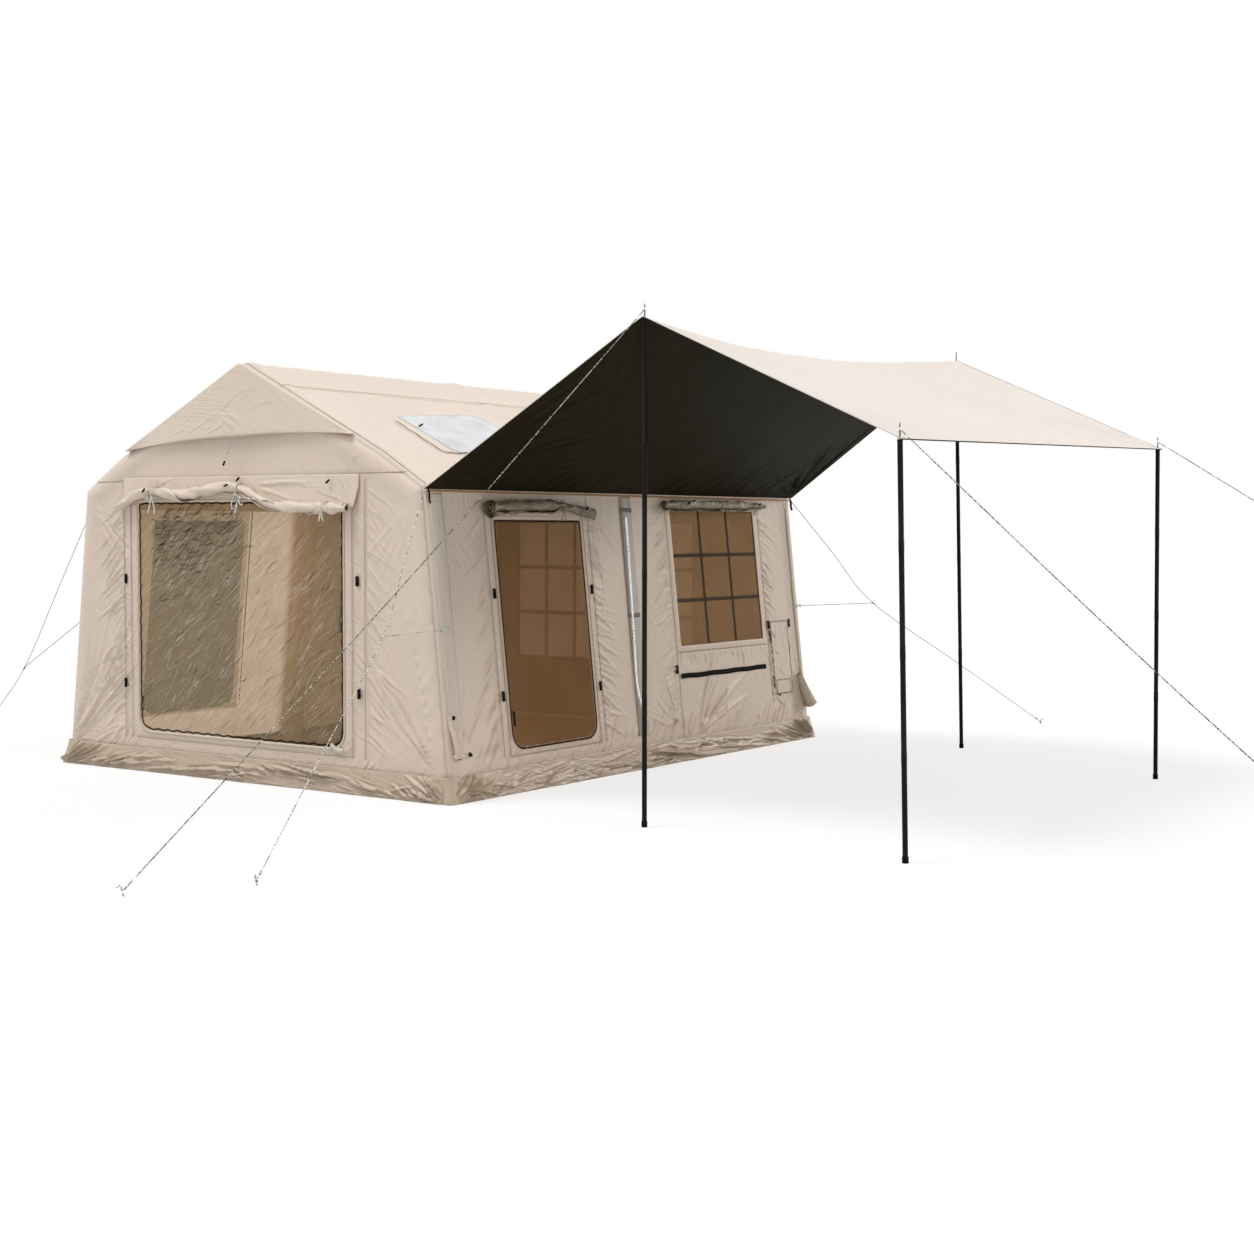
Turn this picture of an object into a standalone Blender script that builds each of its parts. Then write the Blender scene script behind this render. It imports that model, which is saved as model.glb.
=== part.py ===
# Inflatable cabin tent with a side awning, in metres, +Z up.
# The origin is the middle of the floor, on the ground. The ridge runs along Y,
# the front gable faces -Y, and the awning stands on the +X side.
# The long walls lean inwards, so what lies on them is placed in a frame that
# leans with the wall: X out of the wall, Y along it, Z up its slope.
import math

import bmesh
import bpy
from mathutils import Matrix, Vector
from mathutils.bvhtree import BVHTree

# Cabin
TENT_LENGTH = 4.0
FLOOR_WIDTH = 3.12
EAVE_WIDTH = 2.74
EAVE_HEIGHT = 1.70
RIDGE_HEIGHT = 2.42
ROOF_KNEE_INSET = 0.32
ROOF_KNEE_RISE = 0.026
FABRIC = 0.004
FLOOR_SHEET = 0.006
GAP = 0.0003

# Air beams
ARCH_DIAMETER = 0.15
PURLIN_DIAMETER = 0.12
BEAM_WALL = 0.0015
BEAM_SIDES = 12
BEND_STEPS = 5
MIDDLE_ARCH_Y = -0.10
EAVE_BEND = 0.26
RIDGE_BEND = 0.30
AIR_PORT_DIAMETER = 0.03

# Inflation valve on the front arch
VALVE_HEIGHT = 0.45
VALVE_DIAMETER = 0.046
VALVE_LENGTH = 0.022
VALVE_BORE = 0.018
VALVE_CAP_THICKNESS = 0.006

# Doorways and windows: places along the wall, then heights
FRONT_DOOR_X = (-0.865, 0.79)
FRONT_DOOR_Z = (0.25, 1.62)
SIDE_DOOR_Y = (-1.41, -0.62)
SIDE_DOOR_Z = (0.25, 1.515)
SIDE_WINDOW_Y = (0.39, 1.43)
SIDE_WINDOW_Z = (0.725, 1.59)
REAR_WINDOW_X = (-1.06, 0.56)
REAR_WINDOW_Z = (0.47, 1.52)
DOOR_CORNER = 0.09
WINDOW_CORNER = 0.012
PANEL = 0.003
PANEL_OVERLAP = 0.02
DOOR_TOP_OVERLAP = 0.007
GRID_WEBBING = 0.028
GRID_WEBBING_THICKNESS = 0.002
SIDE_WINDOW_PANES = (3, 3)
REAR_WINDOW_PANES = (6, 3)

# Zip sliders
SLIDER_WIDTH = 0.014
SLIDER_LENGTH = 0.034
SLIDER_THICKNESS = 0.006
PULL_WIDTH = 0.008
PULL_LENGTH = 0.05
SLIDER_INSET = 0.012

# Skylight in the roof: down the slope from the ridge, then along the tent
SKYLIGHT_DOWN = (0.54, 1.14)
SKYLIGHT_Y = (-1.40, -0.40)
SKYLIGHT_CORNER = 0.10

# Gable hoods
HOOD_HALF_WIDTH = 0.97
HOOD_HEM_HEIGHT = 1.925
HOOD_HEM_RISE = 0.062
HOOD_LIFT = 0.035
HOOD_COLUMNS = 12
HOOD_ROWS = 3

# Cable port zip and duct flap on the side wall
CABLE_ZIP_Y = (0.365, 1.434)
CABLE_ZIP_HEIGHT = 0.533
CABLE_ZIP_TAPE = 0.03
CABLE_ZIP_THICKNESS = 0.002
CABLE_SLIDER_Y = 1.17
DUCT_FLAP_Y = (1.53, 1.78)
DUCT_FLAP_Z = (0.33, 0.84)

# Rolled covers: points along the wall, their heights and the roll's radius
FRONT_ROLL = (
    (-1.031, 1.589, 0.020), (-0.933, 1.624, 0.027), (-0.775, 1.677, 0.029),
    (-0.586, 1.675, 0.030), (-0.417, 1.662, 0.030), (-0.202, 1.689, 0.028),
    (-0.056, 1.705, 0.027), (0.072, 1.681, 0.027), (0.182, 1.636, 0.028),
    (0.306, 1.596, 0.029), (0.490, 1.584, 0.030), (0.862, 1.583, 0.029),
)
DOOR_ROLL = (
    (-1.504, 1.576, 0.050), (-1.280, 1.590, 0.045), (-1.066, 1.597, 0.040),
    (-0.828, 1.598, 0.037), (-0.674, 1.582, 0.033), (-0.498, 1.560, 0.030),
)
WINDOW_ROLL = (
    (0.283, 1.622, 0.029), (0.735, 1.624, 0.031), (1.274, 1.626, 0.029),
    (1.596, 1.628, 0.013),
)
REAR_ROLL = (
    (-1.16, 1.560, 0.026), (-0.70, 1.575, 0.031), (-0.25, 1.568, 0.032),
    (0.25, 1.574, 0.031), (0.66, 1.562, 0.026),
)
ROLL_SIDES = 12
ROLL_RINGS = 22

# Awning: its poles' feet, and the tops that lean a little
POLE_DIAMETER = 0.025
POLE_FOOT_DIAMETER = 0.030
POLE_FOOT_HEIGHT = 0.03
SPIKE_DIAMETER = 0.008
SPIKE_LENGTH = 0.075
GROMMET_BORE = 0.013
AWNING_SHEET = 0.003
AWNING_CORNER = 0.018
AWNING_RIDGE_SAG = 0.10
AWNING_PANEL_SAG = 0.045
AWNING_EAVE_HEIGHTS = (EAVE_HEIGHT - 0.016, EAVE_HEIGHT - 0.008)
POLES = {
    "near_ridge_pole": ((2.79, -1.99), (2.78, -1.99), 2.51),
    "near_outer_pole": ((4.28, -2.14), (4.24, -2.16), 1.87),
    "far_ridge_pole": ((2.70, 2.00), (2.64, 1.97), 2.60),
    "far_outer_pole": ((4.28, 1.24), (4.26, 1.23), 1.95),
}
AWNING_COLUMNS = 20
AWNING_ROWS = 16

# Guy ropes
ROPE_DIAMETER = 0.005
EAVE_ROPE_DIAMETER = 0.004
WEBBING_DIAMETER = 0.012
ROPE_START_ABOVE = 0.042
ROPE_SAG = 0.008
EAVE_ROPE_HEIGHT = 1.668
BRANCH_HEIGHT = 0.93
NEAR_PEG = (2.324, -4.166)
NEAR_JUNCTION = (1.714, -2.705, 0.937)
FAR_PEG = (2.561, 3.749)
FAR_JUNCTION = (1.764, 2.520, 0.940)
LEFT_PEG = (-2.53, -1.97)
LEFT_JUNCTION = (-2.04, -1.93, 0.57)
LEFT_ROPE_Y = -1.88
POLE_PEGS = {
    "near_ridge_pole": (2.054, -4.632),
    "near_outer_pole": (6.68, -2.71),
    "far_outer_pole": (7.37, 2.03),
}
SPARE_GUY = (
    (-0.118, 1.54, 0.0), (-0.128, 1.40, 0.006), (-0.140, 1.10, 0.006),
    (-0.152, 0.80, 0.006), (-0.160, 0.50, 0.006), (-0.10, 0.30, 0.010),
)

# Pegs, from the ground up
PEG_DIAMETER = 0.007
PEG_HEIGHT = 0.05
PEG_HOOK = 0.018
PEG_LEAN = 15
PEG_ROPE_HEIGHT = 0.022


HALF_LENGTH = TENT_LENGTH / 2
HALF_FLOOR = FLOOR_WIDTH / 2
HALF_EAVE = EAVE_WIDTH / 2
LEAN = math.atan((HALF_FLOOR - HALF_EAVE) / EAVE_HEIGHT)
INNER_LENGTH = HALF_LENGTH - FABRIC - GAP
WALL_FOOT = FLOOR_SHEET + GAP
ARCH_RADIUS = ARCH_DIAMETER / 2
ARCH_PLACES = {
    "front_arch": -HALF_LENGTH + FABRIC + GAP + ARCH_RADIUS,
    "middle_arch": MIDDLE_ARCH_Y,
    "rear_arch": HALF_LENGTH - FABRIC - GAP - ARCH_RADIUS,
}


def clear_scene():
    for item in list(bpy.data.objects):
        bpy.data.objects.remove(item, do_unlink=True)


def make_material(name, color, roughness, metallic=0.0):
    material = bpy.data.materials.new(name)
    material.use_nodes = True
    shader = material.node_tree.nodes["Principled BSDF"]
    shader.inputs["Base Color"].default_value = (*color, 1.0)
    shader.inputs["Roughness"].default_value = roughness
    shader.inputs["Metallic"].default_value = metallic
    return material


def add_object(name, bm, material, parent=None, place=(0, 0, 0), turn=(0, 0, 0)):
    # Finish a bmesh as a named, outward facing object.
    bmesh.ops.recalc_face_normals(bm, faces=bm.faces)
    mesh = bpy.data.meshes.new(name)
    bm.to_mesh(mesh)
    bm.free()
    mesh.shade_smooth()
    mesh.set_sharp_from_angle(angle=math.radians(35))
    item = bpy.data.objects.new(name, mesh)
    bpy.context.scene.collection.objects.link(item)
    item.location = place
    item.rotation_euler = turn
    item.parent = parent
    if material:
        mesh.materials.append(material)
    return item


def add_frame(name, place, turn=(0, 0, 0), parent=None):
    frame = bpy.data.objects.new(name, None)
    bpy.context.scene.collection.objects.link(frame)
    frame.location = place
    frame.rotation_euler = turn
    frame.parent = parent
    return frame


def prism(outline, axis, low, high):
    # Extrude an outline along one axis. The outline's pairs are the other two
    # coordinates in X, Y, Z order.
    def point(pair, along):
        values = list(pair)
        values.insert("XYZ".index(axis), along)
        return values

    bm = bmesh.new()
    base = bm.faces.new([bm.verts.new(point(pair, low)) for pair in outline])
    grown = bmesh.ops.extrude_face_region(bm, geom=[base])
    moved = [item for item in grown["geom"] if isinstance(item, bmesh.types.BMVert)]
    shift = Vector((0, 0, 0))
    shift["XYZ".index(axis)] = high - low
    bmesh.ops.translate(bm, verts=moved, vec=shift)
    return bm


def rounded_rectangle(a, b, radii, steps=4):
    # Corners run from low-low to high-low, high-high and low-high.
    corners = ((a[0], b[0], 180), (a[1], b[0], 270), (a[1], b[1], 0), (a[0], b[1], 90))
    middle = ((a[0] + a[1]) / 2, (b[0] + b[1]) / 2)
    points = []
    for (u, v, start), radius in zip(corners, radii):
        cu = u + math.copysign(radius, middle[0] - u)
        cv = v + math.copysign(radius, middle[1] - v)
        for step in range(steps + 1):
            angle = math.radians(start + 90 * step / steps)
            points.append((cu + radius * math.cos(angle), cv + radius * math.sin(angle)))
    return points


def cut(item, cutter):
    cutter.hide_render = True
    cutter.display_type = "WIRE"
    boolean = item.modifiers.new("cut_" + cutter.name, "BOOLEAN")
    boolean.operation = "DIFFERENCE"
    boolean.solver = "EXACT"
    boolean.object = cutter


def section(inset):
    # Half of the cabin's cross-section, moved in by an inset: foot, eave, roof
    # knee and ridge, as X and Z.
    slope = (RIDGE_HEIGHT - EAVE_HEIGHT) / HALF_EAVE
    knee = (
        HALF_EAVE - ROOF_KNEE_INSET,
        EAVE_HEIGHT + slope * ROOF_KNEE_INSET + ROOF_KNEE_RISE,
    )
    outer = [
        Vector((HALF_FLOOR, 0.0)),
        Vector((HALF_EAVE, EAVE_HEIGHT)),
        Vector(knee),
        Vector((0.0, RIDGE_HEIGHT)),
    ]
    lines = []
    for start, end in zip(outer, outer[1:]):
        run = (end - start).normalized()
        lines.append((start + Vector((-run.y, run.x)) * inset, run))
    lines.insert(0, (Vector((0.0, 0.0)), Vector((1.0, 0.0))))
    lines.append((Vector((0.0, 0.0)), Vector((0.0, 1.0))))
    points = []
    for (p, d), (q, e) in zip(lines, lines[1:]):
        cross = d.x * e.y - d.y * e.x
        along = ((q.x - p.x) * e.y - (q.y - p.y) * e.x) / cross
        points.append(p + d * along)
    return points


def wall_x(height, inset=0.0):
    # How far out the long wall stands at a height.
    foot, eave = section(inset)[:2]
    share = (height - foot.y) / (eave.y - foot.y)
    return foot.x + (eave.x - foot.x) * share


def smooth_route(points, count):
    # Evenly spaced samples of a smooth curve through the given points.
    knots = [Vector(point) for point in points]
    ends = [knots[0] * 2 - knots[1]] + knots + [knots[-1] * 2 - knots[-2]]
    fine = []
    for index in range(len(knots) - 1):
        a, b, c, d = ends[index:index + 4]
        for step in range(24):
            t = step / 24
            fine.append(
                0.5 * (
                    2 * b + (c - a) * t
                    + (2 * a - 5 * b + 4 * c - d) * t * t
                    + (3 * b - 3 * c + d - a) * t ** 3
                )
            )
    fine.append(knots[-1])
    run = [0.0]
    for one, two in zip(fine, fine[1:]):
        run.append(run[-1] + (two - one).length)
    samples = []
    place = 0
    for index in range(count):
        goal = run[-1] * index / (count - 1)
        while place < len(run) - 2 and run[place + 1] < goal:
            place += 1
        share = (goal - run[place]) / (run[place + 1] - run[place])
        samples.append(fine[place].lerp(fine[place + 1], share))
    return samples


def bent_route(points, bend, steps):
    # A route of straight runs whose corners are rounded by arcs.
    knots = [Vector(point) for point in points]
    route = [knots[0]]
    for before, corner, after, radius in zip(knots, knots[1:], knots[2:], bend):
        back = (before - corner).normalized()
        on = (after - corner).normalized()
        half = back.angle(on) / 2
        if radius == 0:
            route.append(corner)
            continue
        reach = radius / math.tan(half)
        centre = corner + (back + on).normalized() * (radius / math.sin(half))
        first = corner + back * reach - centre
        last = corner + on * reach - centre
        turn = first.rotation_difference(last)
        axis, angle = turn.to_axis_angle()
        for step in range(steps + 1):
            part = Matrix.Rotation(angle * step / steps, 3, axis)
            route.append(centre + part @ first)
    route.append(knots[-1])
    return route


def ring_frames(route, side):
    # Across and up directions for each ring of a swept tube.
    frames = []
    for index, here in enumerate(route):
        before = route[max(index - 1, 0)]
        after = route[min(index + 1, len(route) - 1)]
        along = (after - before).normalized()
        across = (side - along * side.dot(along)).normalized()
        up = along.cross(across)
        bend = 1.0
        if 0 < index < len(route) - 1:
            back = (here - before).normalized()
            bend = 1.0 / max(back.dot(along), 0.5)
        frames.append((here, across, up, bend))
    return frames


def sweep(bm, route, radii, sides, side=Vector((0, 1, 0)), level=None):
    # A capped tube along a route, added to a bmesh as a shell of its own. With
    # a level, both of its ends are cut level at that height.
    rings = []
    for (here, across, up, bend), radius in zip(ring_frames(route, side), radii):
        ring = []
        for step in range(sides):
            angle = 2 * math.pi * (step + 0.5) / sides
            offset = across * (radius * math.cos(angle))
            offset += up * (radius * bend * math.sin(angle))
            ring.append(bm.verts.new(here + offset))
        rings.append(ring)
    if level is not None:
        for ring, near, far in ((rings[0], 0, 1), (rings[-1], -1, -2)):
            along = route[far] - route[near]
            for vert in ring:
                vert.co += along * ((level - vert.co.z) / along.z)
    for one, two in zip(rings, rings[1:]):
        for step in range(sides):
            after = (step + 1) % sides
            bm.faces.new((one[step], one[after], two[after], two[step]))
    bm.faces.new(list(reversed(rings[0])))
    bm.faces.new(rings[-1])
    return bm


def turned(profile, sides, bm=None):
    # Spin a profile of radius and height pairs about Z into a solid.
    bm = bm or bmesh.new()
    rings = []
    for radius, height in profile:
        ring = []
        for step in range(sides):
            angle = 2 * math.pi * step / sides
            spot = (radius * math.cos(angle), radius * math.sin(angle), height)
            ring.append(bm.verts.new(spot))
        rings.append(ring)
    for one, two in zip(rings, rings[1:]):
        for step in range(sides):
            after = (step + 1) % sides
            bm.faces.new((one[step], one[after], two[after], two[step]))
    bm.faces.new(list(reversed(rings[0])))
    bm.faces.new(rings[-1])
    return bm


def gridded_sheet(points, thickness_vectors):
    # A closed sheet: a grid of points, and the same grid moved by its thickness.
    bm = bmesh.new()
    top = [[bm.verts.new(p) for p in row] for row in points]
    low = [
        [bm.verts.new(p + t) for p, t in zip(row, moves)]
        for row, moves in zip(points, thickness_vectors)
    ]
    rows, columns = len(top), len(top[0])
    for i in range(rows - 1):
        for j in range(columns - 1):
            bm.faces.new((top[i][j], top[i][j + 1], top[i + 1][j + 1], top[i + 1][j]))
            bm.faces.new((low[i][j], low[i + 1][j], low[i + 1][j + 1], low[i][j + 1]))
    for i in range(rows - 1):
        for j in (0, columns - 1):
            bm.faces.new((top[i][j], top[i + 1][j], low[i + 1][j], low[i][j]))
    for j in range(columns - 1):
        for i in (0, rows - 1):
            bm.faces.new((top[i][j], low[i][j], low[i][j + 1], top[i][j + 1]))
    return bm


def webbed_panel(a, b, panes, facing, swap=False):
    # A mesh pane with a grid of webbing raised on its outer face. It spans the
    # wall along a and up b, with its outer face at 0 and its back behind it.
    half = GRID_WEBBING / 2

    def lines(low, high, count):
        values = [low - PANEL_OVERLAP]
        for index in range(1, count):
            middle = low + (high - low) * index / count
            values += [middle - half, middle + half]
        return values + [high + PANEL_OVERLAP]

    across, up = lines(*a, panes[0]), lines(*b, panes[1])
    bm = bmesh.new()
    grid = []
    for v in up:
        spots = [(u, 0, v) if swap else (0, u, v) for u in across]
        grid.append([bm.verts.new(spot) for spot in spots])
    bars = []
    for i in range(len(up) - 1):
        for j in range(len(across) - 1):
            corners = (grid[i][j], grid[i][j + 1], grid[i + 1][j + 1], grid[i + 1][j])
            face = bm.faces.new(corners)
            if i % 2 or j % 2:
                bars.append(face)
    outward = Vector(facing)
    back = bmesh.ops.extrude_face_region(bm, geom=bm.faces[:], use_keep_orig=True)
    moved = [item for item in back["geom"] if isinstance(item, bmesh.types.BMVert)]
    bmesh.ops.translate(bm, verts=moved, vec=outward * -PANEL)
    raised = bmesh.ops.extrude_face_region(bm, geom=bars)
    moved = [item for item in raised["geom"] if isinstance(item, bmesh.types.BMVert)]
    bmesh.ops.translate(bm, verts=moved, vec=outward * GRID_WEBBING_THICKNESS)
    bmesh.ops.delete(bm, geom=bars, context="FACES")
    return bm


def make_floor(materials):
    outline = rounded_rectangle(
        (-HALF_FLOOR, HALF_FLOOR), (-HALF_LENGTH, HALF_LENGTH), (0.002,) * 4, 1
    )
    add_object("floor", prism(outline, "Z", 0.0, FLOOR_SHEET), materials["floor"])


def wall_cutter(name, outline, axis, low, high):
    return add_object(name, prism(outline, axis, low, high), None)


def make_gables(materials):
    half = section(0.0)
    foot = (wall_x(WALL_FOOT), WALL_FOOT)
    right = [foot] + [tuple(point) for point in half[1:]]
    left = [(-x, z) for x, z in reversed(right[:-1])]
    outline = right + left
    walls = (
        ("front_wall", -HALF_LENGTH, -HALF_LENGTH + FABRIC, FRONT_DOOR_X, FRONT_DOOR_Z),
        ("rear_wall", HALF_LENGTH - FABRIC, HALF_LENGTH, REAR_WINDOW_X, REAR_WINDOW_Z),
    )
    for name, low, high, across, up in walls:
        wall = add_object(name, prism(outline, "Y", low, high), materials["canvas"])
        corner = DOOR_CORNER if name == "front_wall" else WINDOW_CORNER
        radii = (corner, WINDOW_CORNER, WINDOW_CORNER, WINDOW_CORNER)
        hole = rounded_rectangle(across, up, radii)
        cutter = wall_cutter(name + "_hole", hole, "Y", low - 0.01, high + 0.01)
        cut(wall, cutter)


def make_long_walls(materials):
    outer, inner = section(0.0), section(FABRIC)
    down = (outer[0] - outer[1]).normalized() * (GAP * 1.2)
    outline = [
        (wall_x(WALL_FOOT), WALL_FOOT),
        tuple(outer[1] + down),
        tuple(inner[1] + down),
        (wall_x(WALL_FOOT, FABRIC), WALL_FOOT),
    ]
    door = rounded_rectangle(
        SIDE_DOOR_Y, SIDE_DOOR_Z, (DOOR_CORNER, DOOR_CORNER, WINDOW_CORNER, WINDOW_CORNER)
    )
    window = rounded_rectangle(SIDE_WINDOW_Y, SIDE_WINDOW_Z, (WINDOW_CORNER,) * 4)
    for name, side in (("right_wall", 1), ("left_wall", -1)):
        shape = [(side * x, z) for x, z in outline]
        solid = prism(shape, "Y", -INNER_LENGTH, INNER_LENGTH)
        wall = add_object(name, solid, materials["canvas"])
        reach = sorted((side * (HALF_EAVE - 0.1), side * (HALF_FLOOR + 0.1)))
        cut(wall, wall_cutter(name + "_doorway", door, "X", *reach))
        cut(wall, wall_cutter(name + "_window_hole", window, "X", *reach))


def make_roof(materials):
    outer, inner = section(0.0), section(FABRIC)
    outline = [tuple(point) for point in outer[1:] + list(reversed(inner[1:]))]
    clear = GAP / 2
    outline = [(max(x, clear), z) for x, z in outline]
    slope = math.atan2(outer[3].y - outer[2].y, outer[2].x - outer[3].x)
    for name, side in (("right_roof", 1), ("left_roof", -1)):
        shape = [(side * x, z) for x, z in outline]
        solid = prism(shape, "Y", -INNER_LENGTH, INNER_LENGTH)
        roof = add_object(name, solid, materials["canvas"])
        if side < 0:
            continue
        frame = add_frame("roof_frame", (0, 0, RIDGE_HEIGHT), (0, slope, 0))
        hole = rounded_rectangle(SKYLIGHT_DOWN, SKYLIGHT_Y, (SKYLIGHT_CORNER,) * 4)
        cutter = add_object(
            "skylight_hole", prism(hole, "Z", -0.02, 0.02), None, parent=frame
        )
        cut(roof, cutter)
        down = (SKYLIGHT_DOWN[0] - PANEL_OVERLAP, SKYLIGHT_DOWN[1] + PANEL_OVERLAP)
        along = (SKYLIGHT_Y[0] - PANEL_OVERLAP, SKYLIGHT_Y[1] + PANEL_OVERLAP)
        pane = rounded_rectangle(down, along, (SKYLIGHT_CORNER + PANEL_OVERLAP,) * 4)
        solid = prism(pane, "Z", GAP, GAP + PANEL)
        add_object("skylight_pane", solid, materials["clear"], parent=frame)


def roof_height(x):
    # The roof's outer height at a distance from the middle.
    points = section(0.0)[1:]
    for low, high in zip(points, points[1:]):
        if low.x >= abs(x) >= high.x:
            share = (low.x - abs(x)) / (low.x - high.x)
            return low.y + (high.y - low.y) * share
    return EAVE_HEIGHT


def make_hoods(materials):
    edge = 0.006
    for name, side in (("front_hood", -1), ("rear_hood", 1)):
        rows = []
        for column in range(HOOD_COLUMNS + 1):
            x = HOOD_HALF_WIDTH * (2 * column / HOOD_COLUMNS - 1)
            top = roof_height(x) - 0.002
            hem = HOOD_HEM_HEIGHT + HOOD_HEM_RISE * (1 - (x / HOOD_HALF_WIDTH) ** 2)
            hem = min(hem, top - edge)
            line = []
            for row in range(HOOD_ROWS + 1):
                share = row / HOOD_ROWS
                drop = min((top - hem) / (RIDGE_HEIGHT - HOOD_HEM_HEIGHT), 1)
                lift = HOOD_LIFT * share * (0.35 + 0.65 * drop)
                y = side * (HALF_LENGTH + GAP + FABRIC + lift)
                line.append(Vector((x, y, top + (hem - top) * share)))
            rows.append(line)
        back = [[Vector((0, -side * FABRIC, 0))] * (HOOD_ROWS + 1)] * (HOOD_COLUMNS + 1)
        add_object(name, gridded_sheet(rows, back), materials["canvas"])


def make_slider(name, material, parent, place, turn=(0, 0, 0), side=1):
    # A zip slider with its pull hanging down, lying on the plane X = 0.
    half, pull = SLIDER_WIDTH / 2, PULL_WIDTH / 2
    outline = [
        (-half, SLIDER_LENGTH), (-half * 0.6, 0.0), (-pull, 0.0), (-pull, -PULL_LENGTH),
        (pull, -PULL_LENGTH), (pull, 0.0), (half * 0.6, 0.0), (half, SLIDER_LENGTH),
    ]
    faces = sorted((side * GAP, side * (GAP + SLIDER_THICKNESS)))
    return add_object(name, prism(outline, "X", *faces), material, parent, place, turn)


def make_front_door(materials):
    # The clear door lies on the front wall's inner face and swings inwards
    # about an upright axis at its +X edge.
    thick = PANEL
    hinge_x = FRONT_DOOR_X[1] + PANEL_OVERLAP
    hinge_y = -HALF_LENGTH + FABRIC + GAP + thick
    frame = add_frame("front_door_axis", (hinge_x, hinge_y, 0))
    across = (FRONT_DOOR_X[0] - PANEL_OVERLAP - hinge_x, 0.0)
    up = (FRONT_DOOR_Z[0] - PANEL_OVERLAP, FRONT_DOOR_Z[1] + PANEL_OVERLAP)
    radii = (DOOR_CORNER + PANEL_OVERLAP, 0.002, 0.002, WINDOW_CORNER)
    outline = rounded_rectangle(across, up, radii)
    panel = prism(outline, "Y", -thick, 0.0)
    add_object("front_door", panel, materials["clear"], parent=frame)
    spot = (across[0] + PANEL_OVERLAP + SLIDER_INSET, 0.0, 0.42)
    make_slider(
        "front_door_slider", materials["zip"], frame, spot, (0, 0, math.radians(90))
    )


def make_side_doors(materials, frames):
    # Each mesh door lies on the wall's outer face and swings outwards about
    # its far edge.
    slant = math.cos(LEAN)
    for name, side in (("right_door", 1), ("left_door", -1)):
        hinge_y = SIDE_DOOR_Y[1] + PANEL_OVERLAP
        out = side * (GAP + PANEL)
        axis = add_frame(name + "_axis", (out, hinge_y, 0), parent=frames[side])
        along = (SIDE_DOOR_Y[0] - PANEL_OVERLAP - hinge_y, 0.0)
        low = (SIDE_DOOR_Z[0] - PANEL_OVERLAP) / slant
        high = (SIDE_DOOR_Z[1] + DOOR_TOP_OVERLAP) / slant
        round_corner = DOOR_CORNER + PANEL_OVERLAP
        outline = rounded_rectangle(
            along, (low, high), (round_corner, round_corner, 0.002, 0.002)
        )
        faces = sorted((-side * PANEL, 0.0))
        panel = prism(outline, "X", *faces)
        add_object(name, panel, materials["mesh"], parent=axis)
        spot = (0.0, along[0] + SLIDER_INSET + PANEL_OVERLAP, 0.42)
        make_slider(name + "_slider", materials["zip"], axis, spot, side=side)


def make_windows(materials, frames):
    slant = math.cos(LEAN)
    heights = tuple(height / slant for height in SIDE_WINDOW_Z)
    behind = FABRIC + GAP + GRID_WEBBING_THICKNESS
    for name, side in (("right_window", 1), ("left_window", -1)):
        solid = webbed_panel(SIDE_WINDOW_Y, heights, SIDE_WINDOW_PANES, (side, 0, 0))
        place = (-side * behind, 0, 0)
        add_object(name, solid, materials["mesh"], parent=frames[side], place=place)
    solid = webbed_panel(REAR_WINDOW_X, REAR_WINDOW_Z, REAR_WINDOW_PANES, (0, 1, 0), True)
    add_object(
        "rear_window", solid, materials["mesh"], place=(0, HALF_LENGTH - behind, 0)
    )


def make_roll(name, knots, place_point, material):
    # A rolled cover lying against its wall: knots give place, height and radius.
    samples = smooth_route([Vector(knot) for knot in knots], ROLL_RINGS)
    radii = [sample.z for sample in samples]
    route = [place_point(sample.x, sample.y, sample.z) for sample in samples]
    bm = sweep(bmesh.new(), route, radii, ROLL_SIDES, Vector((0, 0, 1)))
    return add_object(name, bm, material)


def make_covers(materials):
    # How near a roll's flats and, under a leaning wall, its edges come.
    flat = math.cos(math.pi / ROLL_SIDES)
    leaning = math.cos(math.pi / ROLL_SIDES - LEAN)

    def gable_point(side):
        def point(x, height, radius):
            y = side * (HALF_LENGTH + 2 * GAP + radius * flat)
            return Vector((x, y, height))
        return point

    def wall_point(side):
        def point(y, height, radius):
            out = radius * leaning + 2 * GAP
            x = wall_x(height) + out * math.cos(LEAN)
            return Vector((side * x, y, height + out * math.sin(LEAN)))
        return point

    canvas, olive = materials["canvas"], materials["olive"]
    make_roll("front_door_cover", FRONT_ROLL, gable_point(-1), canvas)
    make_roll("rear_window_cover", REAR_ROLL, gable_point(1), canvas)
    for name, side in (("right", 1), ("left", -1)):
        make_roll(name + "_door_cover", DOOR_ROLL, wall_point(side), olive)
        make_roll(name + "_window_cover", WINDOW_ROLL, wall_point(side), olive)


def make_wall_fittings(materials, frames):
    # The cable port's zip with its slider, and the duct flap hinged at its top.
    slant = math.cos(LEAN)
    middle = CABLE_ZIP_HEIGHT / slant
    half = CABLE_ZIP_TAPE / 2
    outline = rounded_rectangle(CABLE_ZIP_Y, (middle - half, middle + half), (0.004,) * 4, 2)
    tape = prism(outline, "X", GAP, GAP + CABLE_ZIP_THICKNESS)
    add_object("cable_port_zip", tape, materials["zip"], parent=frames[1])
    place = (GAP + CABLE_ZIP_THICKNESS, CABLE_SLIDER_Y, middle)
    make_slider(
        "cable_port_slider", materials["zip"], frames[1], place, (math.radians(90), 0, 0)
    )
    top = DUCT_FLAP_Z[1] / slant
    axis = add_frame("duct_flap_axis", (GAP + PANEL, 0, top), parent=frames[1])
    outline = rounded_rectangle(DUCT_FLAP_Y, (DUCT_FLAP_Z[0] / slant - top, 0.0), (0.008,) * 4, 2)
    flap = prism(outline, "X", -PANEL, 0.0)
    add_object("duct_flap", flap, materials["canvas"], parent=axis)


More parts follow.
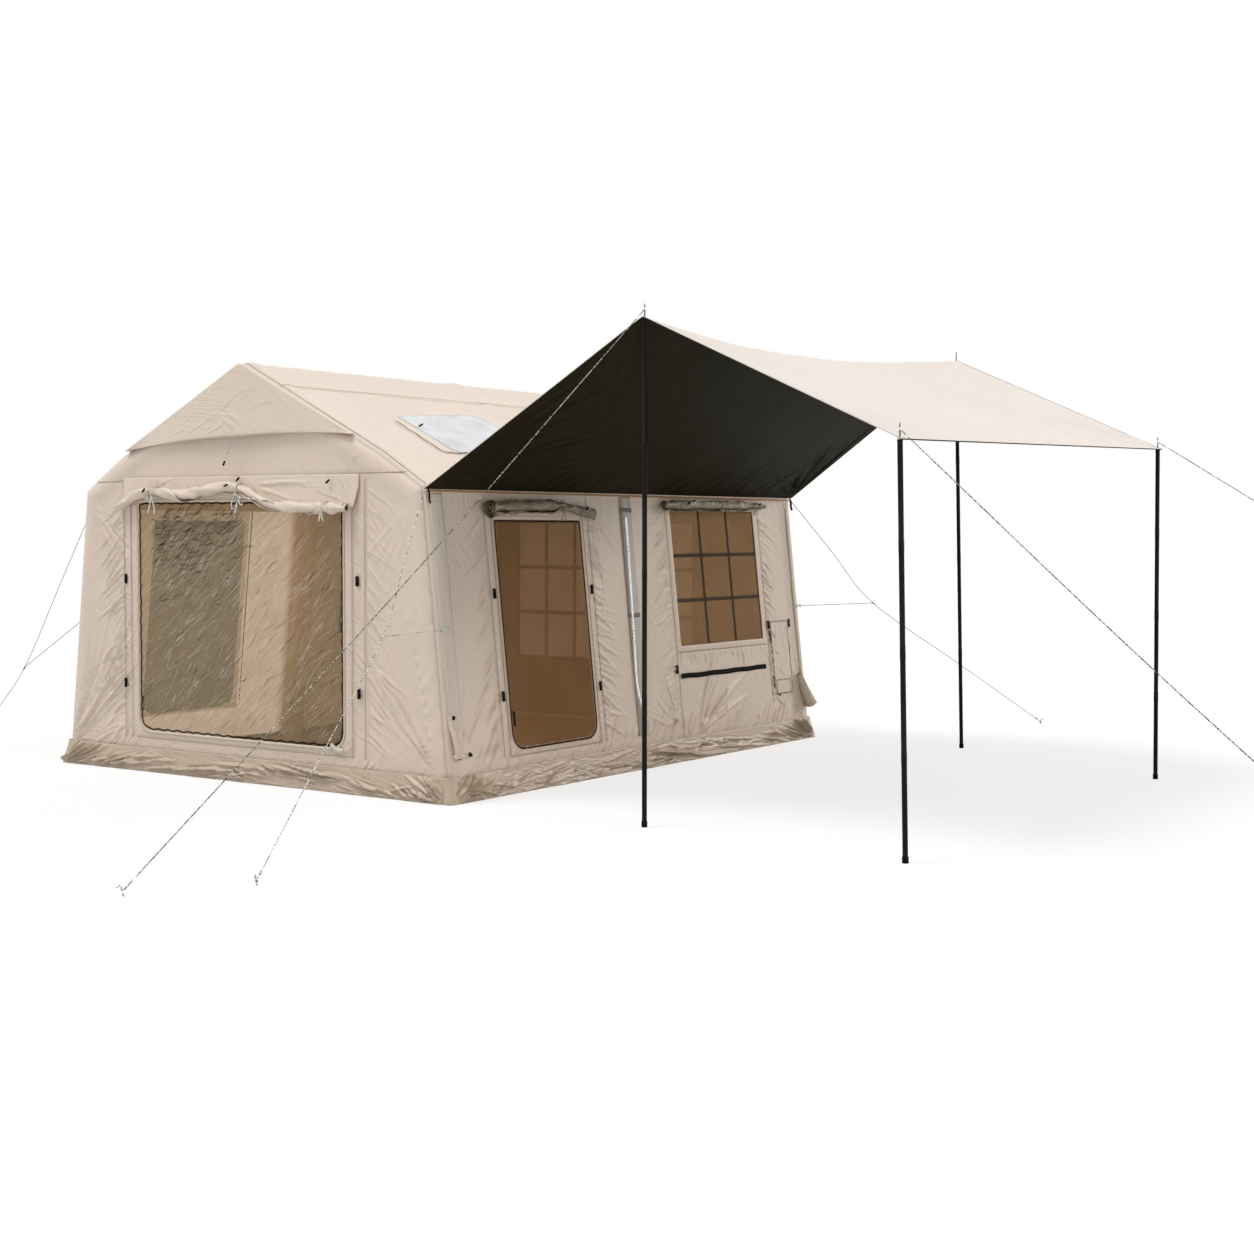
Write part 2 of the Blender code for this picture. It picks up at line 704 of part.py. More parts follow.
def arch_route(y, radius):
    # The centreline of an arch whose tube lies against the walls and roof.
    inset = FABRIC + GAP + radius
    foot, eave, knee, ridge = section(inset)
    low = WALL_FOOT
    half = [(wall_x(low, inset), low), tuple(eave), tuple(knee), tuple(ridge)]
    points = [Vector((x, y, z)) for x, z in half]
    points += [Vector((-x, y, z)) for x, z in reversed(half[:-1])]
    bend = (EAVE_BEND, 0, RIDGE_BEND, 0, EAVE_BEND)
    return bent_route(points, bend, BEND_STEPS)


def purlin_places():
    # The X and Z where each length of purlin meets the arches' centrelines: the
    # middle of the chord in the middle of each bend.
    route = arch_route(0.0, ARCH_RADIUS)
    first = 1 + BEND_STEPS // 2
    bend = route[first].lerp(route[first + 1], 0.5)
    top = len(route) // 2
    ridge = route[top - 1].lerp(route[top], 0.5)
    return {
        "ridge": Vector((0.0, ridge.z)),
        "right_eave": Vector((bend.x, bend.z)),
        "left_eave": Vector((-bend.x, bend.z)),
    }


def make_air_beams(materials):
    across = Vector((0, 1, 0))
    corner_share = 1 / math.cos(math.pi / BEAM_SIDES)
    places = purlin_places()
    arches = {}
    cutters = []
    for name, y in ARCH_PLACES.items():
        route = arch_route(y, ARCH_RADIUS)
        count = len(route)
        radii = [ARCH_RADIUS] * count
        bm = sweep(bmesh.new(), route, radii, BEAM_SIDES, across, WALL_FOOT)
        bores = [ARCH_RADIUS - BEAM_WALL * corner_share] * count
        base = WALL_FOOT + BEAM_WALL
        hollow = sweep(bmesh.new(), route, bores, BEAM_SIDES, across, base)
        arches[name] = add_object(name, bm, materials["beam"])
        cut(arches[name], add_object(name + "_bore", hollow, None))
        grown = ARCH_RADIUS + GAP * corner_share
        bm = sweep(bmesh.new(), route, [grown] * count, BEAM_SIDES, across)
        cutters.append(add_object(name + "_seat", bm, None))
    ends = list(ARCH_PLACES.values())
    bm = bmesh.new()
    for spot in places.values():
        line = [Vector((spot.x, y, spot.y)) for y in (ends[0], ends[-1])]
        sweep(bm, line, [AIR_PORT_DIAMETER / 2] * 2, 8, Vector((1, 0, 0)))
    ports = add_object("air_ports", bm, None)
    for arch in arches.values():
        cut(arch, ports)
    for name, spot in places.items():
        for bay, low, high in (("front", ends[0], ends[1]), ("rear", ends[1], ends[2])):
            line = [Vector((spot.x, y, spot.y)) for y in (low, high)]
            radius = PURLIN_DIAMETER / 2
            bm = sweep(bmesh.new(), line, [radius] * 2, BEAM_SIDES, Vector((1, 0, 0)))
            beam = add_object(f"{name}_beam_{bay}", bm, materials["beam"])
            bore = radius - BEAM_WALL * corner_share
            past = [line[0] - across * 0.01, line[1] + across * 0.01]
            hollow = sweep(bmesh.new(), past, [bore] * 2, BEAM_SIDES, Vector((1, 0, 0)))
            cut(beam, add_object(f"{name}_bore_{bay}", hollow, None))
            for cutter in cutters:
                cut(beam, cutter)
    return arches["front_arch"]


def make_valve(materials, arch):
    # The inflation valve stands on the inner side of the front arch's leg.
    inset = FABRIC + GAP + ARCH_DIAMETER
    flat = ARCH_RADIUS * (1 - math.cos(math.pi / BEAM_SIDES))
    x = wall_x(VALVE_HEIGHT, inset) + flat - GAP
    y = ARCH_PLACES["front_arch"]
    frame = add_frame(
        "valve_frame", (x, y, VALVE_HEIGHT), (0, -math.radians(90) - LEAN, 0)
    )
    radius, bore = VALVE_DIAMETER / 2, VALVE_BORE / 2
    body = add_object(
        "valve_body",
        turned([(radius, 0.0), (radius, 0.008), (radius * 0.8, VALVE_LENGTH)], 16),
        materials["plastic"], parent=frame,
    )
    hole = turned([(bore, -0.03), (bore, VALVE_LENGTH + 0.01)], 12)
    passage = add_object("valve_passage", hole, None, parent=frame)
    cut(body, passage)
    cut(arch, passage)
    hinge = add_frame("valve_cap_axis", (0, radius, VALVE_LENGTH + GAP), parent=frame)
    lid = turned([(radius * 0.9, 0.0), (radius * 0.9, VALVE_CAP_THICKNESS)], 16)
    bmesh.ops.translate(lid, verts=lid.verts, vec=(0, -radius, 0))
    add_object("valve_cap", lid, materials["plastic"], parent=hinge)


def pole_top(name):
    (_, (x, y), height) = POLES[name]
    return Vector((x, y, height))


def awning_points():
    # The awning's grid: columns from the wall to the ridge line and on to the
    # outer edge, rows from the near end to the far end.
    reach = AWNING_CORNER
    edge_out = 0.0008
    walls = []
    for y, height in zip((-INNER_LENGTH, INNER_LENGTH), AWNING_EAVE_HEIGHTS):
        walls.append(Vector((wall_x(height) + edge_out, y, height)))
    near_ridge, far_ridge = pole_top("near_ridge_pole"), pole_top("far_ridge_pole")
    near_edge, far_edge = pole_top("near_outer_pole"), pole_top("far_outer_pole")
    near_ridge.y -= reach
    far_ridge.y += reach
    near_edge += Vector((reach, -reach, 0))
    far_edge += Vector((reach, reach, 0))
    half = AWNING_COLUMNS // 2
    rows = []
    for column in range(AWNING_COLUMNS + 1):
        inner = column <= half
        share = column / half if inner else (column - half) / half
        near = (walls[0], near_ridge) if inner else (near_ridge, near_edge)
        far = (walls[1], far_ridge) if inner else (far_ridge, far_edge)
        start, end = near[0].lerp(near[1], share), far[0].lerp(far[1], share)
        ridge_pull = share if inner else 1 - share
        belly = math.sin(math.pi * share)
        line = []
        for row in range(AWNING_ROWS + 1):
            along = row / AWNING_ROWS
            sag = AWNING_RIDGE_SAG * ridge_pull ** 1.5 * math.sin(math.pi * along ** 0.85)
            sag += AWNING_PANEL_SAG * belly * math.sin(math.pi * along)
            spot = start.lerp(end, along)
            spot.z -= sag
            line.append(spot)
        rows.append(line)
    return rows


def make_awning(materials):
    rows = awning_points()
    moves = [[Vector((0, 0, -AWNING_SHEET))] * len(line) for line in rows]
    bm = gridded_sheet(rows, moves)
    tree = BVHTree.FromBMesh(bm)
    awning = add_object("awning", bm, materials["awning"])
    for name in POLES:
        top = pole_top(name)
        bore = turned([(GROMMET_BORE / 2, -0.1), (GROMMET_BORE / 2, 0.1)], 12)
        cut(awning, add_object(name + "_grommet", bore, None, place=top))
    return tree


def make_poles(materials, awning_tree):
    # Each pole's shoulder stops just under the sheet, and its spike goes
    # through the grommet.
    radius = POLE_DIAMETER / 2
    shoulders = {}
    for name, (foot, top, _) in POLES.items():
        heights = []
        for step in range(16):
            angle = 2 * math.pi * step / 16
            spot = Vector((top[0] + radius * math.cos(angle), top[1] + radius * math.sin(angle), 0))
            hit = awning_tree.ray_cast(spot, Vector((0, 0, 1)))[0]
            if hit:
                heights.append(hit.z)
        shoulder = min(heights) - GAP
        spike = SPIKE_DIAMETER / 2
        profile = [
            (POLE_FOOT_DIAMETER / 2, 0.0), (POLE_FOOT_DIAMETER / 2, POLE_FOOT_HEIGHT),
            (radius, POLE_FOOT_HEIGHT), (radius, shoulder), (spike, shoulder),
            (spike, shoulder + SPIKE_LENGTH - 0.012), (spike * 0.3, shoulder + SPIKE_LENGTH),
        ]
        bm = turned(profile, 14)
        for vert in bm.verts:
            share = vert.co.z / shoulder
            vert.co.x += (top[0] - foot[0]) * share
            vert.co.y += (top[1] - foot[1]) * share
        add_object(name, bm, materials["pole"], place=(foot[0], foot[1], 0))
        shoulders[name] = shoulder
    return shoulders


def make_rope(name, route, diameter, material, count):
    # A rope is a bevelled curve through the samples of its route.
    samples = smooth_route(route, count)
    curve = bpy.data.curves.new(name, "CURVE")
    curve.dimensions = "3D"
    spline = curve.splines.new("POLY")
    spline.points.add(len(samples) - 1)
    for point, sample in zip(spline.points, samples):
        point.co = (*sample, 1.0)
    curve.bevel_depth = diameter / 2
    curve.bevel_resolution = 2
    curve.use_fill_caps = True
    curve.materials.append(material)
    item = bpy.data.objects.new(name, curve)
    bpy.context.scene.collection.objects.link(item)
    return item


def sagging(start, end, sag=ROPE_SAG):
    middle = start.lerp(end, 0.5)
    middle.z -= sag * (end - start).length
    return [start, middle, end]


def make_peg(name, place, towards, material):
    # A hooked peg's head, leaning away from its rope. Gives the rope's place on
    # it and the way it leans.
    lean = math.radians(PEG_LEAN)
    away = (Vector((*place, 0)) - Vector((towards.x, towards.y, 0))).normalized()
    foot = Vector((*place, 0))
    tilt = away * math.sin(lean) + Vector((0, 0, math.cos(lean)))
    top = foot + tilt * PEG_HEIGHT
    tip = top + away * PEG_HOOK - Vector((0, 0, PEG_HOOK * 0.5))
    route = bent_route([foot, top, tip], (PEG_HOOK * 0.35,), 3)
    across = away.cross(Vector((0, 0, 1)))
    radius = PEG_DIAMETER / 2
    bm = sweep(bmesh.new(), route, [radius] * len(route), 8, across)
    for vert in bm.verts:
        if (vert.co - foot).length < radius * 1.3:
            vert.co.z = 0.0
    add_object(name, bm, material)
    return foot + tilt * PEG_ROPE_HEIGHT, tilt


def end_near(point, towards, axis, radius, diameter):
    # Where a rope's middle line ends beside the round thing it is tied to: its
    # square end face just clears the surface.
    run = (towards - point).normalized()
    angle = run.angle(axis)
    reach = radius + GAP + diameter / 2 * abs(math.cos(angle))
    return point + run * (reach / math.sin(angle))


def start_on_wall(side, y, height, towards, diameter):
    # Where a rope's middle line starts on a long wall.
    point = Vector((side * wall_x(height), y, height))
    normal = Vector((side * math.cos(LEAN), 0, math.sin(LEAN)))
    slant = math.sin((towards - point).angle(normal))
    return point + normal * (diameter / 2 * slant + 1.5 * GAP)


def make_guys(materials, shoulders):
    steel, cord = materials["steel"], materials["rope"]
    for name, place in POLE_PEGS.items():
        foot = Vector((*POLES[name][0], 0))
        lean = Vector((*POLES[name][1], shoulders[name])) - foot
        height = shoulders[name] + AWNING_SHEET + ROPE_START_ABOVE
        top = foot + lean * (height / shoulders[name])
        short = name.replace("_pole", "")
        spot, tilt = make_peg(short + "_peg", place, top, steel)
        start = end_near(top, spot, lean, SPIKE_DIAMETER / 2, ROPE_DIAMETER)
        end = end_near(spot, top, tilt, PEG_DIAMETER / 2, ROPE_DIAMETER)
        make_rope(short + "_guy", sagging(start, end), ROPE_DIAMETER, cord, 18)
    near_y, far_y = -INNER_LENGTH, INNER_LENGTH
    corners = (
        ("near", 1, near_y, near_y + 0.03, NEAR_JUNCTION, NEAR_PEG),
        ("far", 1, far_y, far_y - 0.03, FAR_JUNCTION, FAR_PEG),
        ("left", -1, LEFT_ROPE_Y, LEFT_ROPE_Y, LEFT_JUNCTION, LEFT_PEG),
    )
    thick = EAVE_ROPE_DIAMETER
    radius = thick / 2
    for name, side, eave_y, side_y, joint, place in corners:
        joint = Vector(joint)
        start = start_on_wall(side, eave_y, EAVE_ROPE_HEIGHT, joint, thick)
        spot, tilt = make_peg(name + "_peg", place, joint, steel)
        end = end_near(spot, joint, tilt, PEG_DIAMETER / 2, thick)
        route = [start, start.lerp(joint, 0.5), joint, joint.lerp(end, 0.5), end]
        make_rope(name + "_guy", route, thick, cord, 22)
        begin = start_on_wall(side, side_y, BRANCH_HEIGHT, joint, thick)
        run = (joint - begin).normalized()
        angle = min(run.angle(joint - start), run.angle(end - joint))
        tie = radius * (1 + math.cos(angle)) + 3 * GAP
        stop = joint - run * (tie / math.sin(angle))
        route = [begin, begin.lerp(stop, 0.5), stop]
        make_rope(name + "_guy_branch", route, thick, cord, 8)
    route = []
    for y, height, out in SPARE_GUY:
        clear = WEBBING_DIAMETER / 2 + 2 * GAP + out
        x = wall_x(height) + clear * math.cos(LEAN)
        route.append(Vector((x, y, height + clear * math.sin(LEAN))))
    make_rope("spare_guy", route, WEBBING_DIAMETER, cord, 40)


def main():
    clear_scene()
    materials = {
        "canvas": make_material("canvas", (0.56, 0.47, 0.38), 0.85),
        "olive": make_material("olive_lining", (0.28, 0.26, 0.19), 0.8),
        "awning": make_material("awning_canvas", (0.74, 0.66, 0.58), 0.8),
        "floor": make_material("groundsheet", (0.22, 0.16, 0.11), 0.6),
        "clear": make_material("clear_sheet", (0.55, 0.48, 0.38), 0.15),
        "mesh": make_material("insect_mesh", (0.14, 0.09, 0.05), 0.9),
        "beam": make_material("air_beam", (0.75, 0.72, 0.66), 0.4),
        "plastic": make_material("valve_plastic", (0.05, 0.05, 0.05), 0.45),
        "zip": make_material("zip", (0.02, 0.02, 0.02), 0.55),
        "pole": make_material("pole", (0.02, 0.02, 0.022), 0.4, 0.6),
        "steel": make_material("peg_steel", (0.6, 0.6, 0.6), 0.35, 1.0),
        "rope": make_material("guy_rope", (0.5, 0.48, 0.44), 0.9),
    }
    frames = {
        1: add_frame("right_wall_frame", (HALF_FLOOR, 0, 0), (0, -LEAN, 0)),
        -1: add_frame("left_wall_frame", (-HALF_FLOOR, 0, 0), (0, LEAN, 0)),
    }
    make_floor(materials)
    make_gables(materials)
    make_long_walls(materials)
    make_roof(materials)
    make_hoods(materials)
    make_front_door(materials)
    make_side_doors(materials, frames)
    make_windows(materials, frames)
    make_covers(materials)
    make_wall_fittings(materials, frames)
    arch = make_air_beams(materials)
    make_valve(materials, arch)
    awning_tree = make_awning(materials)
    shoulders = make_poles(materials, awning_tree)
    make_guys(materials, shoulders)


main()
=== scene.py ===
import math

import bmesh
import bpy
import numpy as np
from mathutils import Matrix, Vector


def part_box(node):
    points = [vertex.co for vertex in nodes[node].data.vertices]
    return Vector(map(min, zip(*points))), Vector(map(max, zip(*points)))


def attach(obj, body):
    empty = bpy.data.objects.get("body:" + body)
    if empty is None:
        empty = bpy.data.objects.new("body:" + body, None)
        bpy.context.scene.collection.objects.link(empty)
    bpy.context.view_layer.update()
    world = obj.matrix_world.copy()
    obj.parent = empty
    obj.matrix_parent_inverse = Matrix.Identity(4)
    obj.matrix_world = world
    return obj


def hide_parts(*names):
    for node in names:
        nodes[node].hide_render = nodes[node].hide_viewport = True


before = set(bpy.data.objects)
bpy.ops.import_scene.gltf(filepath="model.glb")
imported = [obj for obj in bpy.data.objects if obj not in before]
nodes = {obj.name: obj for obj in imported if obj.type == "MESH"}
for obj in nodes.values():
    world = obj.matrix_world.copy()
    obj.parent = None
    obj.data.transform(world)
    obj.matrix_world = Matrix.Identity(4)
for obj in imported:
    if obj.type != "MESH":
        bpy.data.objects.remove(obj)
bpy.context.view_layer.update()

print("frame loaded")

# the camera stands where the photograph was taken from
camera = {"place": (7.833, -9.55, 1.48), "yaw": 34.27, "pitch": -3.08, "roll": 0.2,
          "focalPixels": 1850, "imagePixels": 1254, "sensor": 36}


def makeCamera():
    yaw, pitch, roll = (math.radians(camera[key]) for key in ("yaw", "pitch", "roll"))
    ahead = Vector((-math.sin(yaw) * math.cos(pitch), math.cos(yaw) * math.cos(pitch), math.sin(pitch)))
    right = Vector((math.cos(yaw), math.sin(yaw), 0))
    up = right.cross(ahead)
    turnedRight = right * math.cos(roll) + up * math.sin(roll)
    turnedUp = up * math.cos(roll) - right * math.sin(roll)
    data = bpy.data.cameras.new("photoCamera")
    data.sensor_width = camera["sensor"]
    data.lens = camera["focalPixels"] / camera["imagePixels"] * camera["sensor"]
    data.clip_end = 200
    item = bpy.data.objects.new("photoCamera", data)
    bpy.context.scene.collection.objects.link(item)
    matrix = Matrix((turnedRight, turnedUp, -ahead)).transposed().to_4x4()
    matrix.translation = camera["place"]
    item.matrix_world = matrix
    bpy.context.scene.camera = item


makeCamera()

# the cabin's outer shape, from the frame where it can be read there
cabin = {
    "halfLength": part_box("floor")[1].y, "halfFloor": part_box("floor")[1].x,
    "ridge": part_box("front_wall")[1].z, "halfEave": 1.37, "eave": 1.70,
    "kneeInset": 0.32, "kneeRise": 0.026, "eaveBend": 0.05, "kneeBend": 0.35, "ridgeBend": 0.06,
    "cornerBend": 0.07, "cloth": 0.002, "clear": 0.0003,
}
lean = math.atan((cabin["halfFloor"] - cabin["halfEave"]) / cabin["eave"])
halfLength = cabin["halfLength"]
# each wall turns half of an upright corner: the sine of 45 degrees, and one less its cosine
cornerTurn, cornerInset = 0.7072, cabin["cornerBend"] * 0.2929


def roundedLine(knots, radii, steps=8):
    # straight runs whose corners are arcs, as 2-D points
    knots = [Vector(knot) for knot in knots]
    points = [knots[0]]
    for before, corner, after, radius in zip(knots, knots[1:], knots[2:], radii):
        back, on = (before - corner).normalized(), (after - corner).normalized()
        half = back.angle(on) / 2
        centre = corner + (back + on).normalized() * (radius / math.sin(half))
        first = corner + back * (radius / math.tan(half)) - centre
        last = corner + on * (radius / math.tan(half)) - centre
        for step in range(steps + 1):
            points.append(centre + first.lerp(last, step / steps).normalized() * radius)
    points.append(knots[-1])
    return points


def sectionKnots():
    # the right foot, the eave and the knee in the roof
    slope = (cabin["ridge"] - cabin["eave"]) / cabin["halfEave"]
    knee = (cabin["halfEave"] - cabin["kneeInset"],
            cabin["eave"] + slope * cabin["kneeInset"] + cabin["kneeRise"])
    return [(cabin["halfFloor"], 0), (cabin["halfEave"], cabin["eave"]), knee]


def cabinSection():
    # from the right foot over the ridge to the left foot
    right = sectionKnots()
    left = [(-x, z) for x, z in reversed(right)]
    bends = [cabin[key] for key in ("eaveBend", "kneeBend", "ridgeBend", "kneeBend", "eaveBend")]
    return np.array(roundedLine(right + [(0, cabin["ridge"])] + left, bends))


def walked(points):
    # how far along a flat path each of its points lies
    return np.concatenate([[0], np.cumsum(np.hypot(*np.diff(points, axis=0).T))])


def pathAt(goals, run, path):
    # where a path is at given lengths
    return [np.interp(goals, run, path[:, axis]) for axis in range(path.shape[1])]


sectionPath = cabinSection()
sectionRun = walked(sectionPath)
sectionLength = sectionRun[-1]
eaveRun = cabin["eave"] / math.cos(lean)


def smooth(share):
    share = np.clip(share, 0, 1)
    return share * share * (3 - 2 * share)


def wallX(height):
    return cabin["halfFloor"] - math.tan(lean) * height


def cornerDrop(past):
    # how far the cloth falls back where it turns an upright corner
    bend = cabin["cornerBend"]
    past = np.clip(past, 0, cornerTurn * bend)
    return bend - np.sqrt(bend * bend - past * past)


def wrapPlace(y, run, lift):
    # a point on the cloth that goes over the cabin from foot to foot
    step = 0.004
    (x, z), ahead, behind = (pathAt(run + shift, sectionRun, sectionPath) for shift in (0, step, -step))
    dx, dz = ahead[0] - behind[0], ahead[1] - behind[1]
    size = np.hypot(dx, dz)
    out = lift - cornerDrop(np.abs(y) - (halfLength - cabin["cornerBend"]))
    return np.stack([x + dz / size * out, y + 0 * out, z - dx / size * out], 1)


def wallPlace(side):
    def place(y, height, lift):
        run = height / math.cos(lean)
        return wrapPlace(y, run if side > 0 else sectionLength - run, lift)
    return place


def insideOutline(x, z):
    # how far a point lies inside the gable's outline
    best = np.full(x.shape, 9.0)
    for start, end in zip(sectionPath, sectionPath[1:]):
        along = end - start
        size = math.hypot(*along)
        share = np.clip(((x - start[0]) * along[0] + (z - start[1]) * along[1]) / size ** 2, 0, 1)
        offX, offZ = x - start[0] - along[0] * share, z - start[1] - along[1] * share
        side = np.sign(along[0] * offZ - along[1] * offX + 1e-12)
        distance = np.hypot(offX, offZ) * side
        best = np.where(np.abs(distance) < np.abs(best), distance, best)
    return best


def gablePlace(end):
    def place(x, z, lift):
        drop = cornerDrop(cabin["cornerBend"] - insideOutline(x, z))
        return np.stack([x, end * (halfLength + lift - drop), z], 1)
    return place


rightWall, leftWall, frontWall, rearWall = wallPlace(1), wallPlace(-1), gablePlace(-1), gablePlace(1)


def latticeNoise(u, v, size, seed):
    table = np.random.default_rng(seed).uniform(-1, 1, (64, 64))
    a, b = u / size + 31.7, v / size + 17.3
    i, j = np.floor(a).astype(int), np.floor(b).astype(int)
    fa, fb = smooth(a - i), smooth(b - j)
    low = table[i % 64, j % 64] * (1 - fa) + table[(i + 1) % 64, j % 64] * fa
    high = table[i % 64, (j + 1) % 64] * (1 - fa) + table[(i + 1) % 64, (j + 1) % 64] * fa
    return low * (1 - fb) + high * fb


def foldField(folds, u, v):
    # the height that folds give a cloth; a fold is start, end, width, height and bow
    total = np.zeros(u.shape)
    for u0, v0, u1, v1, width, height, bow in folds:
        du, dv = u1 - u0, v1 - v0
        size = math.hypot(du, dv)
        reach = 2.4 * width + abs(bow)
        near = (u > min(u0, u1) - reach) & (u < max(u0, u1) + reach)
        near &= (v > min(v0, v1) - reach) & (v < max(v0, v1) + reach)
        if not near.any():
            continue
        along = ((u[near] - u0) * du + (v[near] - v0) * dv) / size ** 2
        across = ((v[near] - v0) * du - (u[near] - u0) * dv) / size
        across = (across - bow * np.sin(np.pi * np.clip(along, 0, 1))) / width
        shape = np.exp(-across ** 2) * np.cos(2.2 * across)
        total[near] += height * shape * smooth((along + 0.03) / 0.12) * smooth((1 - along) / 0.6)
    return total


def puckers(start, end, spacing, length, angle, width, height, seed):
    # short folds that leave a seam at an angle in degrees, some longer than others
    draw = np.random.default_rng(seed)
    run = math.hypot(end[0] - start[0], end[1] - start[1])
    folds, place = [], spacing * 0.5
    while place < run:
        share = place / run
        u, v = (start[axis] + (end[axis] - start[axis]) * share for axis in (0, 1))
        turn = math.radians(angle + draw.uniform(-14, 14))
        size = length * draw.uniform(0.45, 1.5)
        folds.append((u, v, u + size * math.cos(turn), v + size * math.sin(turn),
                      width * draw.uniform(0.7, 1.4), height * draw.uniform(0.5, 1.4),
                      draw.uniform(-0.05, 0.05) * size))
        place += spacing * draw.uniform(0.6, 1.5)
    return folds


def fan(centre, angles, lengths, count, width, height, seed):
    # folds that spread from one point
    draw = np.random.default_rng(seed)
    folds = []
    for index in range(count):
        turn = math.radians(angles[0] + (angles[1] - angles[0]) * (index + draw.uniform(0.2, 0.8)) / count)
        near, far = 0.04 + draw.uniform(0, 0.08), draw.uniform(*lengths)
        u, v = centre[0] + near * math.cos(turn), centre[1] + near * math.sin(turn)
        folds.append((u, v, u + far * math.cos(turn), v + far * math.sin(turn),
                      width * draw.uniform(0.7, 1.5), height * draw.uniform(0.5, 1.4),
                      draw.uniform(-0.045, 0.045) * far))
    return folds


def gridLines(breaks, step):
    # grid lines through every break, about a step apart
    values = [breaks[0]]
    for low, high in zip(breaks, breaks[1:]):
        values += list(np.linspace(low, high, max(1, round((high - low) / step)) + 1)[1:])
    return values


def denseLines(breaks, dense, coarse, fine):
    # grid lines through every break, closer together inside the dense spans
    values = [breaks[0]]
    edges = [edge for span in dense for edge in span if breaks[0] < edge < breaks[-1]]
    cuts = sorted(set(list(breaks) + edges))
    for low, high in zip(cuts, cuts[1:]):
        middle = (low + high) / 2
        step = fine if any(span[0] < middle < span[1] for span in dense) else coarse
        values += gridLines([low, high], step)[1:]
    return values


def outside(opening):
    # the distance outside a rounded rectangle, whose top corners may be tighter than the others
    (left, right), (low, high) = opening["a"], opening["b"]

    def depth(u, v):
        corner = np.where(v > (low + high) / 2, opening.get("top", opening["corner"]), opening["corner"])
        du = np.abs(u - (left + right) / 2) - (right - left) / 2 + corner
        dv = np.abs(v - (low + high) / 2) - (high - low) / 2 + corner
        return np.hypot(np.maximum(du, 0), np.maximum(dv, 0)) + np.minimum(np.maximum(du, dv), 0) - corner
    return depth


def flatCloth(uLines, vLines, shapes=()):
    # a flat grid, cut by shapes: each gives how far inside the cloth a point lies
    bm = bmesh.new()
    columns, rows = len(uLines) - 1, len(vLines) - 1
    bmesh.ops.create_grid(bm, x_segments=columns, y_segments=rows, size=0.5)
    for vert in bm.verts:
        vert.co = (uLines[round((vert.co.x + 0.5) * columns)], vLines[round((vert.co.y + 0.5) * rows)], 0)
    for shape in shapes:
        centres = np.array([face.calc_center_median() for face in bm.faces])
        depth = shape(centres[:, 0], centres[:, 1])
        lost = [face for face, inside in zip(bm.faces, depth) if inside < 0]
        edged = {vert for face in lost for vert in face.verts}
        bmesh.ops.delete(bm, geom=lost, context="FACES")
        edged = [vert for vert in edged if vert.is_valid and vert.link_faces]
        for _ in range(3):
            spots = np.array([vert.co for vert in edged])
            if not len(spots):
                break
            u, v, tiny = spots[:, 0], spots[:, 1], 1e-4
            depth = shape(u, v)
            slopeU, slopeV = (shape(u + tiny, v) - depth) / tiny, (shape(u, v + tiny) - depth) / tiny
            size = np.maximum(slopeU ** 2 + slopeV ** 2, 0.25)
            for vert, one, two, inside, scale in zip(edged, slopeU, slopeV, depth, size):
                vert.co.x -= one * inside / scale
                vert.co.y -= two * inside / scale
    return bm


def addPiece(name, data, materials, body="tent", replaced=()):
    item = bpy.data.objects.new(name, data)
    bpy.context.scene.collection.objects.link(item)
    data.materials.clear()
    for material in materials:
        data.materials.append(material)
    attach(item, body)
    if replaced:
        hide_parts(*replaced)
    return item


def thicken(item, thickness, offset=-1, inner=0):
    solid = item.modifiers.new("thickness", "SOLIDIFY")
    solid.thickness, solid.offset = thickness, offset
    solid.material_offset = inner
    solid.use_quality_normals = False
    return item


def meshFrom(bm, name):
    mesh = bpy.data.meshes.new(name)
    bm.to_mesh(mesh)
    bm.free()
    return mesh


def flatMesh(bm, name):
    # a mesh that is still flat, with its metres as its UV map
    mesh = meshFrom(bm, name)
    flat, corners = np.empty(len(mesh.vertices) * 3), np.empty(len(mesh.loops), np.int32)
    mesh.vertices.foreach_get("co", flat)
    mesh.loops.foreach_get("vertex_index", corners)
    flat = flat.reshape(-1, 3)
    mesh.uv_layers.new(name="metres").data.foreach_set("uv", flat[corners, :2].ravel())
    return mesh, flat[:, 0].copy(), flat[:, 1].copy()


def wrapMesh(mesh, place, u, v, relief):
    # lays a flat mesh on its place, relief above it, with its faces outwards
    lift = relief(u, v) if callable(relief) else np.full(u.shape, float(relief))
    spots = place(u, v, lift)
    outward = place(u, v, lift + 0.005) - spots
    mesh.vertices.foreach_set("co", spots.ravel())
    mesh.update()
    normals = np.empty(len(mesh.vertices) * 3)
    mesh.vertices.foreach_get("normal", normals)
    if (normals.reshape(-1, 3) * outward).sum() < 0:
        mesh.flip_normals()


def layCloth(name, bm, place, relief, materials, body="tent", replaced=(),
             thickness=0.002, inner=0):
    # lays a flat cloth on its place: u and v are its metres, relief its height
    mesh, u, v = flatMesh(bm, name)
    wrapMesh(mesh, place, u, v, relief)
    mesh.shade_smooth()
    item = addPiece(name, mesh, materials, body, replaced)
    return thicken(item, thickness, -1, inner) if thickness else item


def flatArea(bm):
    return sum(face.calc_area() for face in bm.faces)


# shader groups that several finishes share
def newGroup(name, inputs, outputs):
    tree = bpy.data.node_groups.new(name, "ShaderNodeTree")
    for label, kind, value in inputs:
        socket = tree.interface.new_socket(label, in_out="INPUT", socket_type="NodeSocket" + kind)
        if value is not None:
            socket.default_value = value
    for label, kind in outputs:
        tree.interface.new_socket(label, in_out="OUTPUT", socket_type="NodeSocket" + kind)
    return tree, tree.nodes.new("NodeGroupInput").outputs, tree.nodes.new("NodeGroupOutput").inputs


